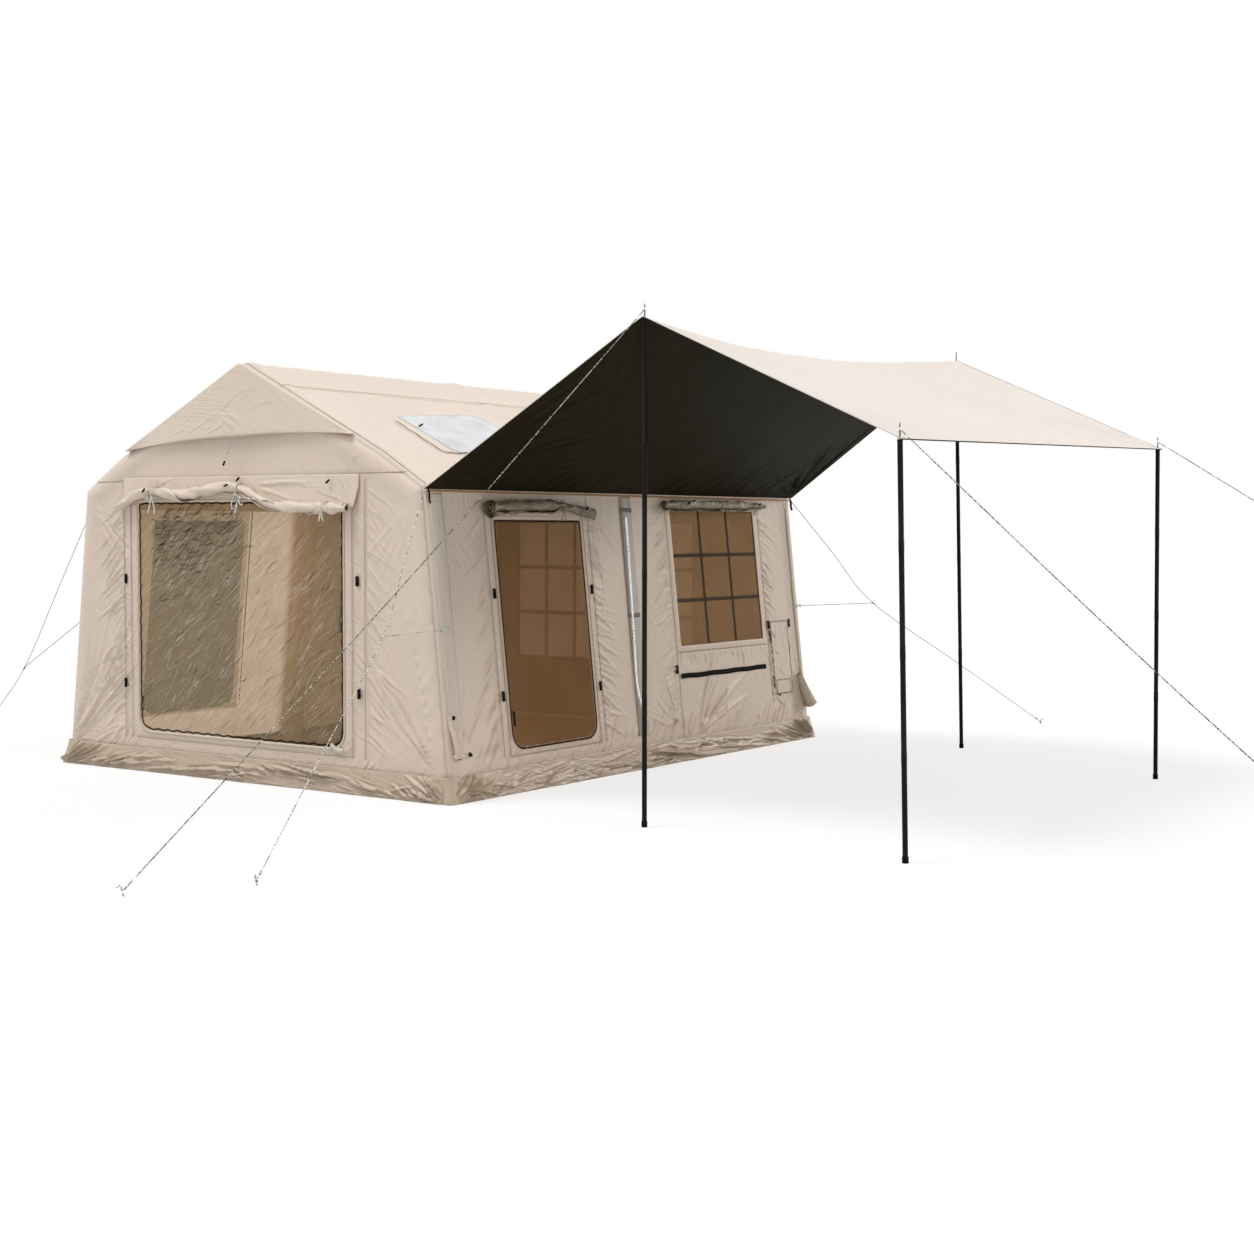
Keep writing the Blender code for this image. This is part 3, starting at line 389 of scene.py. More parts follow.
def addNode(tree, kind, inputs=(), **settings):
    made = tree.nodes.new("ShaderNode" + kind)
    for key, value in settings.items():
        setattr(made, key, value)
    for key, value in dict(inputs).items():
        if isinstance(value, bpy.types.NodeSocket):
            tree.links.new(value, made.inputs[key])
        else:
            made.inputs[key].default_value = value
    return made


def link(value, socket):
    socket.id_data.links.new(value, socket)


def maths(tree, operation, one, two=0.0):
    return addNode(tree, "Math", {0: one, 1: two}, operation=operation).outputs[0]


def blended(tree, share, one, two, blend="MIX"):
    return addNode(tree, "Mix", {0: share, 6: one, 7: two}, data_type="RGBA", blend_type=blend).outputs[2]


def ranged(tree, value, low, high, bottom=0.0, top=1.0):
    return addNode(tree, "MapRange", {0: value, 1: low, 2: high, 3: bottom, 4: top}).outputs[0]


def cloud(tree, place, scale, detail):
    return addNode(tree, "TexNoise", {"Vector": place, "Scale": scale, "Detail": detail}).outputs["Fac"]


def buildWeaveGroup():
    # crossing threads, from the cloth's own metres
    tree, given, out = newGroup("threadWeave", [("Metres", "Vector", None), ("Threads", "Float", 260.0)],
                                [("Height", "Float"), ("Shade", "Float")])
    waves = [addNode(tree, "TexWave", {"Vector": given["Metres"], "Scale": given["Threads"],
                                       "Distortion": 0.6, "Detail": 1.0, "Detail Scale": 0.4},
                     bands_direction=way) for way in ("X", "Y")]
    height = maths(tree, "MAXIMUM", waves[0].outputs["Fac"], waves[1].outputs["Fac"])
    link(height, out["Height"])
    link(ranged(tree, height, 0.4, 1.0, 0.9, 1.03), out["Shade"])
    return tree


def buildToneGroup():
    # uneven dye, and dust that gathers near the ground
    white = (1, 1, 1, 1)
    tree, given, out = newGroup(
        "clothTone", [("Place", "Vector", None), ("Cloth", "Color", white), ("Dust", "Color", white),
                      ("Unevenness", "Float", 0.06), ("Dust Height", "Float", 0.3)], [("Color", "Color")])
    wide, fine = cloud(tree, given["Place"], 1.6, 3.0), cloud(tree, given["Place"], 38.0, 4.0)
    both = maths(tree, "ADD", maths(tree, "MULTIPLY", wide, 1.3), maths(tree, "MULTIPLY", fine, 0.7))
    level = maths(tree, "MULTIPLY", maths(tree, "SUBTRACT", both, 1.0), given["Unevenness"])
    bright = addNode(tree, "HueSaturation", {"Color": given["Cloth"],
                                             "Value": maths(tree, "ADD", level, 1.0)})
    height = addNode(tree, "SeparateXYZ", {0: given["Place"]}).outputs["Z"]
    dusty = maths(tree, "MULTIPLY", ranged(tree, height, 0.0, given["Dust Height"], 0.5, 0.0), fine)
    link(blended(tree, dusty, bright.outputs[0], given["Dust"]), out["Color"])
    return tree


def buildCreaseGroup():
    # fine creases, sharper than the folds that are modelled
    tree, given, out = newGroup(
        "fineCreases", [("Place", "Vector", None), ("Scale", "Float", 7.0)], [("Height", "Float")])
    bent = addNode(tree, "TexNoise", {"Vector": given["Place"], "Scale": 3.0, "Detail": 2.0}).outputs["Color"]
    moved = addNode(tree, "VectorMath", {0: bent, 1: (0.12, 0.12, 0.12)}, operation="MULTIPLY").outputs[0]
    placed = addNode(tree, "VectorMath", {0: given["Place"], 1: moved}, operation="ADD").outputs[0]
    ridges = addNode(tree, "TexNoise", {"Vector": placed, "Scale": given["Scale"], "Detail": 2.5,
                                        "Roughness": 0.5}, noise_type="RIDGED_MULTIFRACTAL", normalize=True)
    soft = cloud(tree, given["Place"], 26.0, 3.0)
    link(maths(tree, "ADD", maths(tree, "MULTIPLY", ridges.outputs["Fac"], 0.8),
               maths(tree, "MULTIPLY", soft, 0.35)), out["Height"])
    return tree


def buildRibGroup():
    # ribs across a strap or the teeth of a zip, from its own metres
    tree, given, out = newGroup(
        "crossRibs", [("Metres", "Vector", None), ("Pitch", "Float", 0.004), ("Half Width", "Float", 0.002)],
        [("Height", "Float"), ("Middle", "Float")])
    parts = addNode(tree, "SeparateXYZ", {0: given["Metres"]}).outputs
    turns = maths(tree, "DIVIDE", parts["X"], given["Pitch"])
    wave = maths(tree, "SINE", maths(tree, "MULTIPLY", turns, 6.2832))
    link(maths(tree, "ADD", maths(tree, "MULTIPLY", wave, 0.5), 0.5), out["Height"])
    across = maths(tree, "DIVIDE", maths(tree, "ABSOLUTE", parts["Y"]), given["Half Width"])
    link(maths(tree, "LESS_THAN", across, 1.0), out["Middle"])
    return tree


def buildStreakGroup():
    # long narrow creases that run one way: their size is in metres, along and across
    tree, given, out = newGroup("slantCreases", [("Place", "Vector", None), ("Slant", "Vector", (0, 0, 0)),
                                                 ("Size", "Vector", (1, 1, 1)), ("Line", "Float", 0.05)],
                                [("Mask", "Float"), ("Height", "Float")])
    turned = addNode(tree, "Mapping", {"Vector": given["Place"], "Rotation": given["Slant"],
                                       "Scale": given["Size"]}, vector_type="TEXTURE").outputs[0]
    level = addNode(tree, "TexNoise", {"Vector": turned, "Scale": 1.0, "Detail": 1.5,
                                       "Distortion": 0.4}).outputs["Fac"]
    away = maths(tree, "ABSOLUTE", maths(tree, "SUBTRACT", level, 0.5))
    link(ranged(tree, away, 0.0, given["Line"], 1.0, 0.0), out["Mask"])
    link(level, out["Height"])
    return tree


weaveGroup, toneGroup, creaseGroup = buildWeaveGroup(), buildToneGroup(), buildCreaseGroup()
ribGroup, streakGroup = buildRibGroup(), buildStreakGroup()


def useGroup(tree, group, inputs):
    return addNode(tree, "Group", inputs, node_tree=group).outputs


def newMaterial(name, roughness, metallic=0.0, **uniform):
    # gives the material, its node tree, its shader's inputs and both ways to place a pattern
    material = bpy.data.materials.new(name)
    material.use_nodes = True
    tree = material.node_tree
    inputs = tree.nodes["Principled BSDF"].inputs
    inputs["Roughness"].default_value = roughness
    inputs["Metallic"].default_value = metallic
    for key, value in uniform.items():
        inputs[key.replace("_", " ")].default_value = value
    coordinates = tree.nodes.new("ShaderNodeTexCoord").outputs
    return material, tree, inputs, coordinates["Object"], coordinates["UV"]


def rgb(red, green, blue):
    # a colour as a screen shows it, made linear
    values = [level / 255 for level in (red, green, blue)]
    return (*[v / 12.92 if v <= 0.04045 else ((v + 0.055) / 1.055) ** 2.4 for v in values], 1)


def setBump(tree, inputs, height, distance):
    bump = addNode(tree, "Bump", {"Height": height, "Distance": distance, "Strength": 1.0})
    link(bump.outputs[0], inputs["Normal"])


# how the cloths look; a run of long creases has its slant in degrees and its size
wallRuns = ((56, (0.60, 0.060, 1)), (-50, (0.50, 0.050, 1)))
skirtRuns = ((9, (0.40, 0.030, 1)), (-12, (0.34, 0.028, 1)))
oliveRuns = ((12, (0.20, 0.02, 1)), (-14, (0.16, 0.02, 1)))
paleDust, darkCloth = rgb(176, 156, 132), rgb(32, 30, 13)
finishes = {
    "cabinCanvas": {"cloth": rgb(222, 205, 189), "dust": paleDust, "rough": 0.5, "shine": 0.5,
                    "crease": 0.0012, "runs": wallRuns, "depth": 0.0012},
    # the roof is the walls' cloth made paler: painted light that falls on it from above
    "roofCanvasPaintedPale": {"cloth": rgb(222, 210, 198), "dust": paleDust, "rough": 0.62, "shine": 0.4,
                   "crease": 0.0010, "runs": wallRuns, "depth": 0.0005},
    "coverCanvas": {"cloth": rgb(222, 206, 190), "dust": paleDust, "rough": 0.45, "shine": 0.55,
                    "crease": 0.0014, "runs": wallRuns, "depth": 0.0014},
    "skirtCanvas": {"cloth": rgb(205, 186, 166), "dust": rgb(140, 124, 102), "rough": 0.42, "shine": 0.5,
                    "crease": 0.0012, "runs": skirtRuns, "depth": 0.0025},
    "oliveCloth": {"cloth": rgb(142, 130, 106), "dust": rgb(120, 110, 90), "rough": 0.38, "shine": 0.7,
                   "crease": 0.002, "runs": oliveRuns, "depth": 0.005},
    "awningTop": {"cloth": rgb(225, 217, 211), "dust": rgb(206, 194, 184), "rough": 0.7, "shine": 0.3,
                  "crease": 0.0008, "runs": (), "depth": 0},
    "awningUnder": {"cloth": darkCloth, "dust": darkCloth, "rough": 0.66, "shine": 0.08,
                    "crease": 0.0006, "runs": (), "depth": 0},
    "groundBrown": {"cloth": rgb(146, 112, 80), "dust": rgb(100, 80, 60), "rough": 0.6, "shine": 0.3,
                    "crease": 0.002, "runs": wallRuns, "depth": 0.002},
}


def clothMaterial(name):
    facts = finishes[name]
    material, tree, inputs, place, metres = newMaterial(name, facts["rough"],
                                                        Specular_IOR_Level=facts["shine"])
    tone = useGroup(tree, toneGroup, {"Place": place, "Cloth": facts["cloth"], "Dust": facts["dust"]})
    weave = useGroup(tree, weaveGroup, {"Metres": metres})
    creases = useGroup(tree, creaseGroup, {"Place": place})
    shade = addNode(tree, "CombineColor", {channel: weave["Shade"] for channel in range(3)})
    link(blended(tree, 1.0, tone["Color"], shade.outputs[0], "MULTIPLY"), inputs["Base Color"])
    height = maths(tree, "ADD", creases["Height"], maths(tree, "MULTIPLY", weave["Height"], 0.05))
    height = maths(tree, "MULTIPLY", height, facts["crease"])
    for index, (slant, size) in enumerate(facts["runs"]):
        run = useGroup(tree, streakGroup, {"Place": metres, "Slant": (0, 0, math.radians(slant)),
                                           "Size": size, "Line": 0.14})
        share = ranged(tree, cloud(tree, place, 2.3 + index, 1.0), 0.42, 0.62, 0.0, facts["depth"])
        height = maths(tree, "ADD", height, maths(tree, "MULTIPLY", run["Mask"], share))
    setBump(tree, inputs, height, 1.0)
    return material


def liningMaterial():
    # the walls' inner side, brown, with the daylight that comes through the cloth painted on as a glow
    material, tree, inputs, place, _ = newMaterial("innerLining", 0.8, Emission_Strength=0.78)
    tone = useGroup(tree, toneGroup, {"Place": place, "Cloth": rgb(202, 186, 170),
                                      "Dust": rgb(162, 144, 124), "Unevenness": 0.1})
    creases = useGroup(tree, creaseGroup, {"Place": place})
    parts = addNode(tree, "SeparateXYZ", {0: place}).outputs
    # painted shade: the glow dims behind the middle arch and darkens towards the rear bay, where less
    # daylight reaches
    along = parts["Y"]
    lit = blended(tree, ranged(tree, along, -0.2, -0.12), rgb(250, 244, 240), rgb(116, 98, 80))
    rear = ranged(tree, along, 0.4, 1.9)
    lit = blended(tree, rear, lit, rgb(30, 22, 15))
    # painted light: near the left doorway the glow takes the colour of its olive cover
    cover = maths(tree, "MULTIPLY", maths(tree, "LESS_THAN", parts["X"], -1.2),
                  maths(tree, "LESS_THAN", along, -0.585))
    cover = maths(tree, "MULTIPLY", cover, maths(tree, "GREATER_THAN", parts["Z"], 0.235))
    lit = blended(tree, cover, lit, rgb(172, 166, 146))
    # painted shade: the base colour darkens towards the rear bay too
    link(blended(tree, rear, tone["Color"], rgb(72, 54, 38)), inputs["Base Color"])
    link(blended(tree, 1.0, tone["Color"], lit, "MULTIPLY"), inputs["Emission Color"])
    setBump(tree, inputs, creases["Height"], 0.003)
    return material


def clearMaterial():
    # clear vinyl, softly crinkled, a little more opaque along the crinkles: faint painted highlights
    material, tree, inputs, _, metres = newMaterial("clearVinyl", 0.2, Specular_IOR_Level=0.35)
    crinkle = useGroup(tree, streakGroup, {"Place": metres, "Slant": (0, 0, math.radians(38)),
                                           "Size": (0.4, 0.05, 1), "Line": 0.1})
    tint = blended(tree, cloud(tree, metres, 3.0, 2.0), rgb(150, 134, 98), rgb(184, 164, 128))
    link(tint, inputs["Base Color"])
    link(ranged(tree, crinkle["Mask"], 0.0, 1.0, 0.2, 0.3), inputs["Alpha"])
    setBump(tree, inputs, crinkle["Height"], 0.004)
    return material


def paintedCreaseMaterial(name, colour, alpha, rough):
    # a sharp crease in clear vinyl as a strip of colour: a pale strip is a painted highlight where it catches
    # the light, a dark one painted shade over what is behind it
    material, tree, inputs, place, _ = newMaterial(name, rough)
    level = cloud(tree, place, 14.0, 1.0)
    link(blended(tree, level, darker(colour, 0.7), colour), inputs["Base Color"])
    link(ranged(tree, level, 0.35, 0.6, alpha * 0.35, alpha), inputs["Alpha"])
    return material


def darker(colour, share):
    return tuple(level * share for level in colour[:3]) + (1,)


def skylightMaterial():
    # vinyl that mirrors the sky: its pale bluish colour is a painted reflection of the sky, over its own
    # gloss
    material, tree, inputs, place, _ = newMaterial("skylightVinyl", 0.12)
    level = cloud(tree, place, 6.0, 3.0)
    link(blended(tree, level, rgb(200, 206, 212), rgb(236, 239, 242)), inputs["Base Color"])
    link(ranged(tree, level, 0.3, 0.7, 0.8, 0.92), inputs["Alpha"])
    setBump(tree, inputs, level, 0.01)
    return material


def meshMaterial(name, low, high, cover):
    # fine netting: threads with gaps that let what is behind show, with a faint glow that is painted light
    material, tree, inputs, place, metres = newMaterial(name, 0.9, Emission_Strength=0.16,
                                                        Specular_IOR_Level=0.1)
    weave = useGroup(tree, weaveGroup, {"Metres": metres, "Threads": 190.0})
    colour = blended(tree, cloud(tree, place, 2.2, 3.0), low, high)
    link(colour, inputs["Base Color"])
    link(colour, inputs["Emission Color"])
    link(maths(tree, "ADD", maths(tree, "MULTIPLY", weave["Height"], 0.16), cover), inputs["Alpha"])
    setBump(tree, inputs, weave["Height"], 0.0006)
    return material


def webbingMaterial(name, colour, rough=0.7, pitch=0.0032, shine=0.5):
    material, tree, inputs, place, metres = newMaterial(name, rough, Specular_IOR_Level=shine)
    ribs = useGroup(tree, ribGroup, {"Metres": metres, "Pitch": pitch})
    link(blended(tree, cloud(tree, place, 90.0, 2.0), darker(colour, 0.72), colour), inputs["Base Color"])
    setBump(tree, inputs, ribs["Height"], 0.0006)
    return material


def zipMaterial():
    material, tree, inputs, _, metres = newMaterial("zipBlack", 0.7, Specular_IOR_Level=0.06)
    ribs = useGroup(tree, ribGroup, {"Metres": metres, "Pitch": 0.003, "Half Width": 0.0035})
    link(blended(tree, ribs["Middle"], rgb(22, 20, 18), rgb(12, 12, 12)), inputs["Base Color"])
    link(ranged(tree, ribs["Middle"], 0.0, 1.0, 0.9, 0.5), inputs["Roughness"])
    setBump(tree, inputs, maths(tree, "MULTIPLY", ribs["Height"], ribs["Middle"]), 0.001)
    return material


def hardMaterial(name, colour, rough, metallic=0.0, wear=0.1, shine=0.5):
    # painted, moulded or bare metal parts, a little scuffed
    material, tree, inputs, place, _ = newMaterial(name, rough, metallic, Specular_IOR_Level=shine)
    scuffs = cloud(tree, place, 60.0, 4.0)
    pale = tuple(min(1, level + 0.25) for level in colour[:3]) + (1,)
    link(blended(tree, ranged(tree, scuffs, 0.55, 0.75, 0.0, wear), colour, pale), inputs["Base Color"])
    link(ranged(tree, scuffs, 0.3, 0.7, rough * 0.8, min(1, rough * 1.25)), inputs["Roughness"])
    setBump(tree, inputs, scuffs, 0.0003)
    return material


def ropeMaterial(name, pale, dark, share, size, paintedGlow=0.0):
    # braided cord with darker flecks, and an optional glow that is painted light
    material, tree, inputs, place, _ = newMaterial(name, 0.75, Emission_Strength=paintedGlow)
    flecks = ranged(tree, cloud(tree, place, size, 1.0), share - 0.03, share + 0.03)
    colour = blended(tree, flecks, pale, dark)
    link(colour, inputs["Base Color"])
    link(colour, inputs["Emission Color"])
    braid = addNode(tree, "TexWave", {"Vector": place, "Scale": 120.0, "Distortion": 2.0},
                    bands_direction="DIAGONAL")
    setBump(tree, inputs, braid.outputs["Fac"], 0.0006)
    return material


def beamMaterial():
    # coated sleeve over the air tubes: beige cloth, whose brown colour and glow are painted light and shade
    # of the cabin's inside
    material, tree, inputs, place, _ = newMaterial("beamSleeve", 0.5, Emission_Strength=0.25)
    creases = useGroup(tree, creaseGroup, {"Place": place, "Scale": 14.0})
    tone = useGroup(tree, toneGroup, {"Place": place, "Cloth": rgb(168, 134, 98), "Dust": rgb(120, 100, 80)})
    link(tone["Color"], inputs["Base Color"])
    link(tone["Color"], inputs["Emission Color"])
    setBump(tree, inputs, creases["Height"], 0.004)
    return material


canvas, roofCanvasPaintedPale, coverCanvas, oliveCloth = (
    clothMaterial(name) for name in ("cabinCanvas", "roofCanvasPaintedPale", "coverCanvas", "oliveCloth"))
awningTop, awningUnder, skirtCanvas, groundBrown = (
    clothMaterial(name) for name in ("awningTop", "awningUnder", "skirtCanvas", "groundBrown"))
lining, clearVinyl, skylightVinyl = liningMaterial(), clearMaterial(), skylightMaterial()
# one netting in four copies: each copy's colour and glow are set for the light where it hangs, painted light
# and shade
insectNet = meshMaterial("insectNet", rgb(132, 97, 62), rgb(158, 122, 83), 0.30)
windowNet = meshMaterial("windowNet", rgb(146, 112, 78), rgb(172, 138, 100), 0.39)
farNet = meshMaterial("farNet", rgb(124, 108, 82), rgb(152, 134, 104), 0.68)
rearNet = meshMaterial("rearNet", rgb(140, 100, 62), rgb(164, 124, 84), 0.68)
glintPale = paintedCreaseMaterial("creaseGlint", rgb(255, 244, 226), 0.8, 0.3)
paintedCreaseShade = paintedCreaseMaterial("creaseShade", rgb(62, 50, 28), 0.9, 0.5)
pipingTan = webbingMaterial("pipingTan", rgb(196, 150, 104))
webbingDark = webbingMaterial("webbingOlive", rgb(58, 46, 30), 0.9)
canvasTape = webbingMaterial("canvasTape", rgb(222, 208, 188))
# darker than the canvas: the stitching, and painted shade in the fold along each seam
seamThreadAndShade = webbingMaterial("seamThreadAndShade", rgb(186, 166, 144))
whiteTape = webbingMaterial("whiteTape", rgb(228, 222, 210))
blackTape = webbingMaterial("blackTape", rgb(20, 18, 17), shine=0.08)
greySleeve = webbingMaterial("greySleeve", rgb(194, 186, 176), 0.4, 0.02)
cornerSleeve = webbingMaterial("cornerSleeve", rgb(226, 214, 201), 0.45, 0.02)
greyBar = webbingMaterial("greyBar", rgb(128, 122, 112), 0.6, 0.004)
zipBlack = zipMaterial()
poleBlack = hardMaterial("poleBlack", rgb(13, 12, 10), 0.5, wear=0.02, shine=0.16)
rubberBlack = hardMaterial("rubberBlack", rgb(12, 12, 11), 0.8, wear=0.03, shine=0.12)
spikeSteel = hardMaterial("spikeSteel", rgb(120, 120, 118), 0.35, 1.0)
pegSteel = hardMaterial("pegSteel", rgb(190, 190, 188), 0.3, 1.0)
valveBlack = hardMaterial("valveBlack", rgb(34, 34, 34), 0.45)
beamSleeve = beamMaterial()
guyFlecked = ropeMaterial("guyFlecked", rgb(214, 210, 201), rgb(14, 13, 12), 0.48, 150.0)
# the far and left corner ropes are the near one's pale cord, greyed: painted shade
guyPaintedShade = ropeMaterial("guyPaintedShade", rgb(160, 155, 146), rgb(70, 67, 62), 0.52, 170.0)
# the pale cord and the silver braid glow a little: painted light that keeps them bright in shade
guyPale = ropeMaterial("guyPale", rgb(255, 254, 250), rgb(40, 37, 34), 0.505, 140.0, 0.1)
braidSilver = ropeMaterial("braidSilver", rgb(255, 255, 255), rgb(150, 148, 144), 0.58, 150.0, 0.4)
print("finishes made")


def smoothRoute(points, count):
    # even samples of a smooth curve through the points
    knots = [Vector(point) for point in points]
    ends = [knots[0] * 2 - knots[1]] + knots + [knots[-1] * 2 - knots[-2]]
    fine = []
    for index in range(len(knots) - 1):
        a, b, c, d = ends[index:index + 4]
        for step in range(24):
            t = step / 24
            fine.append(0.5 * (2 * b + (c - a) * t + (2 * a - 5 * b + 4 * c - d) * t * t
                               + (3 * b - 3 * c + d - a) * t ** 3))
    fine = np.array(fine + [knots[-1]])
    run = np.concatenate([[0], np.cumsum(np.linalg.norm(np.diff(fine, axis=0), axis=1))])
    return np.stack(pathAt(np.linspace(0, run[-1], count), run, fine), 1)


def routeLength(points):
    return float(np.linalg.norm(np.diff(np.array(points), axis=0), axis=1).sum())


def curvePiece(name, routes, radius, material, body="tent", replaced=(), resolution=3,
               asMesh=False, closed=False):
    # round cords or wires through lists of points
    curve = bpy.data.curves.new(name, "CURVE")
    curve.dimensions = "3D"
    for route in routes:
        spline = curve.splines.new("POLY")
        spline.points.add(len(route) - 1)
        for point, spot in zip(spline.points, route):
            point.co = (*spot, 1)
        spline.use_cyclic_u = closed
        spline.use_smooth = True
    curve.bevel_depth = radius
    curve.bevel_resolution = resolution
    curve.use_fill_caps = not closed
    if not asMesh:
        return addPiece(name, curve, [material], body, replaced)
    holder = bpy.data.objects.new(name + "Guide", curve)
    mesh = bpy.data.meshes.new_from_object(holder)
    mesh.name = name
    bpy.data.objects.remove(holder)
    bpy.data.curves.remove(curve)
    return addPiece(name, weldMesh(mesh), [material], body, replaced)


def weldMesh(mesh):
    bm = bmesh.new()
    bm.from_mesh(mesh)
    bmesh.ops.remove_doubles(bm, verts=bm.verts, dist=1e-6)
    bmesh.ops.recalc_face_normals(bm, faces=bm.faces)
    bm.to_mesh(mesh)
    bm.free()
    mesh.shade_smooth()
    return mesh


def joinMeshes(name, meshes):
    bm = bmesh.new()
    for mesh in meshes:
        bm.from_mesh(mesh)
    joined = meshFrom(bm, name)
    for mesh in meshes:
        bpy.data.meshes.remove(mesh)
    joined.shade_smooth()
    return joined


def ribbonMesh(place, points, width, lift, columns, step):
    # a tape that follows a line on a wall; its own metres run along and across it
    route = np.array(points, float)
    run = walked(route)
    along = np.linspace(0, run[-1], max(2, round(run[-1] / step)) + 1)
    u, v = pathAt(along, run, route)
    du, dv = np.gradient(u), np.gradient(v)
    size = np.maximum(np.hypot(du, dv), 1e-9)
    bm = flatCloth(list(along), gridLines([-width / 2, width / 2], width / columns))
    mesh, far, across = flatMesh(bm, "ribbon")
    here = (np.interp(far, along, u) + np.interp(far, along, -dv / size) * across,
            np.interp(far, along, v) + np.interp(far, along, du / size) * across)
    wrapMesh(mesh, place, *here, lift)
    return mesh


def ribbons(name, place, lines, width, lift, material, body="tent", thickness=0.0012,
            columns=2, step=0.012):
    meshes = [ribbonMesh(place, points, width, lift, columns, step) for points in lines]
    item = addPiece(name, joinMeshes(name, meshes), [material], body)
    return thicken(item, thickness, 1)


def strapMesh(points, side, width):
    # a tape through points in space, its width along one direction
    points = [Vector(point) for point in points]
    side = Vector(side).normalized() * (width / 2)
    last = len(points) - 1
    run = [0.0]
    for one, two in zip(points, points[1:]):
        run.append(run[-1] + (two - one).length)
    bm = bmesh.new()
    bmesh.ops.create_grid(bm, x_segments=last, y_segments=1, size=0.5)
    layer = bm.loops.layers.uv.new("metres")
    for vert in bm.verts:
        index = round((vert.co.x + 0.5) * last)
        for loop in vert.link_loops:
            loop[layer].uv = (run[index], vert.co.y * width)
        vert.co = points[index] + side * (1 if vert.co.y > 0 else -1)
    return meshFrom(bm, "strap")


def straps(name, runs, width, material, thickness=0.001):
    # runs are pairs of points and the tape's width direction
    meshes = [strapMesh(points, side, width) for points, side in runs]
    return thicken(addPiece(name, joinMeshes(name, meshes), [material]), thickness, 0)


def spun(profile, sides, place=(0, 0, 0), tilt=None):
    # a turned part: radius and height pairs, spun about its own upright
    bm = bmesh.new()
    verts = [bm.verts.new((radius, 0, height)) for radius, height in profile]
    for one, two in zip(verts, verts[1:]):
        bm.edges.new((one, two))
    bmesh.ops.spin(bm, geom=bm.verts[:] + bm.edges[:], cent=(0, 0, 0), axis=(0, 0, 1), angle=2 * math.pi,
                   steps=sides, use_merge=True)
    bmesh.ops.remove_doubles(bm, verts=bm.verts, dist=1e-6)
    bmesh.ops.recalc_face_normals(bm, faces=bm.faces)
    matrix = Matrix.Translation(place)
    if tilt is not None:
        matrix = matrix @ Vector(tilt).to_track_quat("Z", "Y").to_matrix().to_4x4()
    bmesh.ops.transform(bm, matrix=matrix, verts=bm.verts)
    mesh = meshFrom(bm, "spun")
    mesh.shade_smooth()
    mesh.set_sharp_from_angle(angle=math.radians(40))
    return mesh


def addToggles(name, toggles):
    return addPiece(name, joinMeshes(name, toggles), [rubberBlack])


# guy ropes come next: their routes are the CAD's
guys = {
    "thick": 0.005, "cornerThick": 0.004, "webbing": 0.012, "sag": 0.008, "startAbove": 0.042,
    "sheet": 0.003, "spikeThick": 0.008, "eaveHeight": 1.668, "branchHeight": 0.93,
    "branchInset": 0.03, "pegThick": 0.007, "pegHeight": 0.05, "pegHook": 0.018, "pegLean": 15,
    "ropeOnPeg": 0.022, "innerEnd": halfLength - 0.0043,
}
poles = {
    "near_ridge_pole": {"foot": (2.79, -1.99), "top": (2.78, -1.99), "sheet": 2.51, "peg": (2.054, -4.632)},
    "near_outer_pole": {"foot": (4.28, -2.14), "top": (4.24, -2.16), "sheet": 1.87, "peg": (6.68, -2.71)},
    "far_ridge_pole": {"foot": (2.70, 2.00), "top": (2.64, 1.97), "sheet": 2.60, "peg": None},
    "far_outer_pole": {"foot": (4.28, 1.24), "top": (4.26, 1.23), "sheet": 1.95, "peg": (7.37, 2.03)},
}
# the near rope shows the cord's pale colour; the far and left ones use its grey copy, painted shade
cornerGuys = {
    "near": {"side": 1, "y": -1, "finish": guyPale, "joint": (1.714, -2.705, 0.937), "peg": (2.324, -4.166)},
    "far": {"side": 1, "y": 1, "finish": guyPaintedShade, "joint": (1.764, 2.520, 0.940), "peg": (2.561, 3.749)},
    "left": {"side": -1, "y": None, "finish": guyPaintedShade, "joint": (-2.04, -1.93, 0.57), "peg": (-2.53, -1.97)},
}
# the left rope's place along its wall, and the spike above a pole's shoulder
leftGuyY, spikeHeight = -1.88, 0.075
spareGuy = [(-0.118, 1.54, 0.0), (-0.128, 1.40, 0.006), (-0.140, 1.10, 0.006), (-0.152, 0.80, 0.006),
            (-0.160, 0.50, 0.006), (-0.10, 0.30, 0.010)]


def pegAt(name, place, towards):
    # a hooked wire peg that leans away from its rope
    tiltAngle = math.radians(guys["pegLean"])
    away = (Vector((*place, 0)) - Vector((towards.x, towards.y, 0))).normalized()
    foot = Vector((*place, 0.0))
    tilt = away * math.sin(tiltAngle) + Vector((0, 0, math.cos(tiltAngle)))
    top = foot + tilt * guys["pegHeight"]
    bend = guys["pegHook"] * 0.45
    route = [foot + tilt * 0.0035, top - tilt * bend, top - tilt * bend * 0.35 + away * bend * 0.3,
             top + away * bend, top + away * guys["pegHook"] - Vector((0, 0, guys["pegHook"] * 0.5))]
    item = curvePiece(name + "Wire", [smoothRoute(route, 14)], guys["pegThick"] / 2 * 0.98, pegSteel,
                      replaced=(name,), asMesh=True)
    return foot + tilt * guys["ropeOnPeg"], tilt, item


def endNear(point, towards, axis, radius, thick):
    run = (towards - point).normalized()
    angle = run.angle(axis)
    reach = radius + cabin["clear"] + thick / 2 * abs(math.cos(angle))
    return point + run * (reach / math.sin(angle))


def startOnWall(side, y, height, towards, thick):
    point = Vector((side * wallX(height), y, height))
    normal = Vector((side * math.cos(lean), 0, math.sin(lean)))
    slant = math.sin((towards - point).angle(normal))
    return point + normal * (thick / 2 * slant + 1.5 * cabin["clear"])


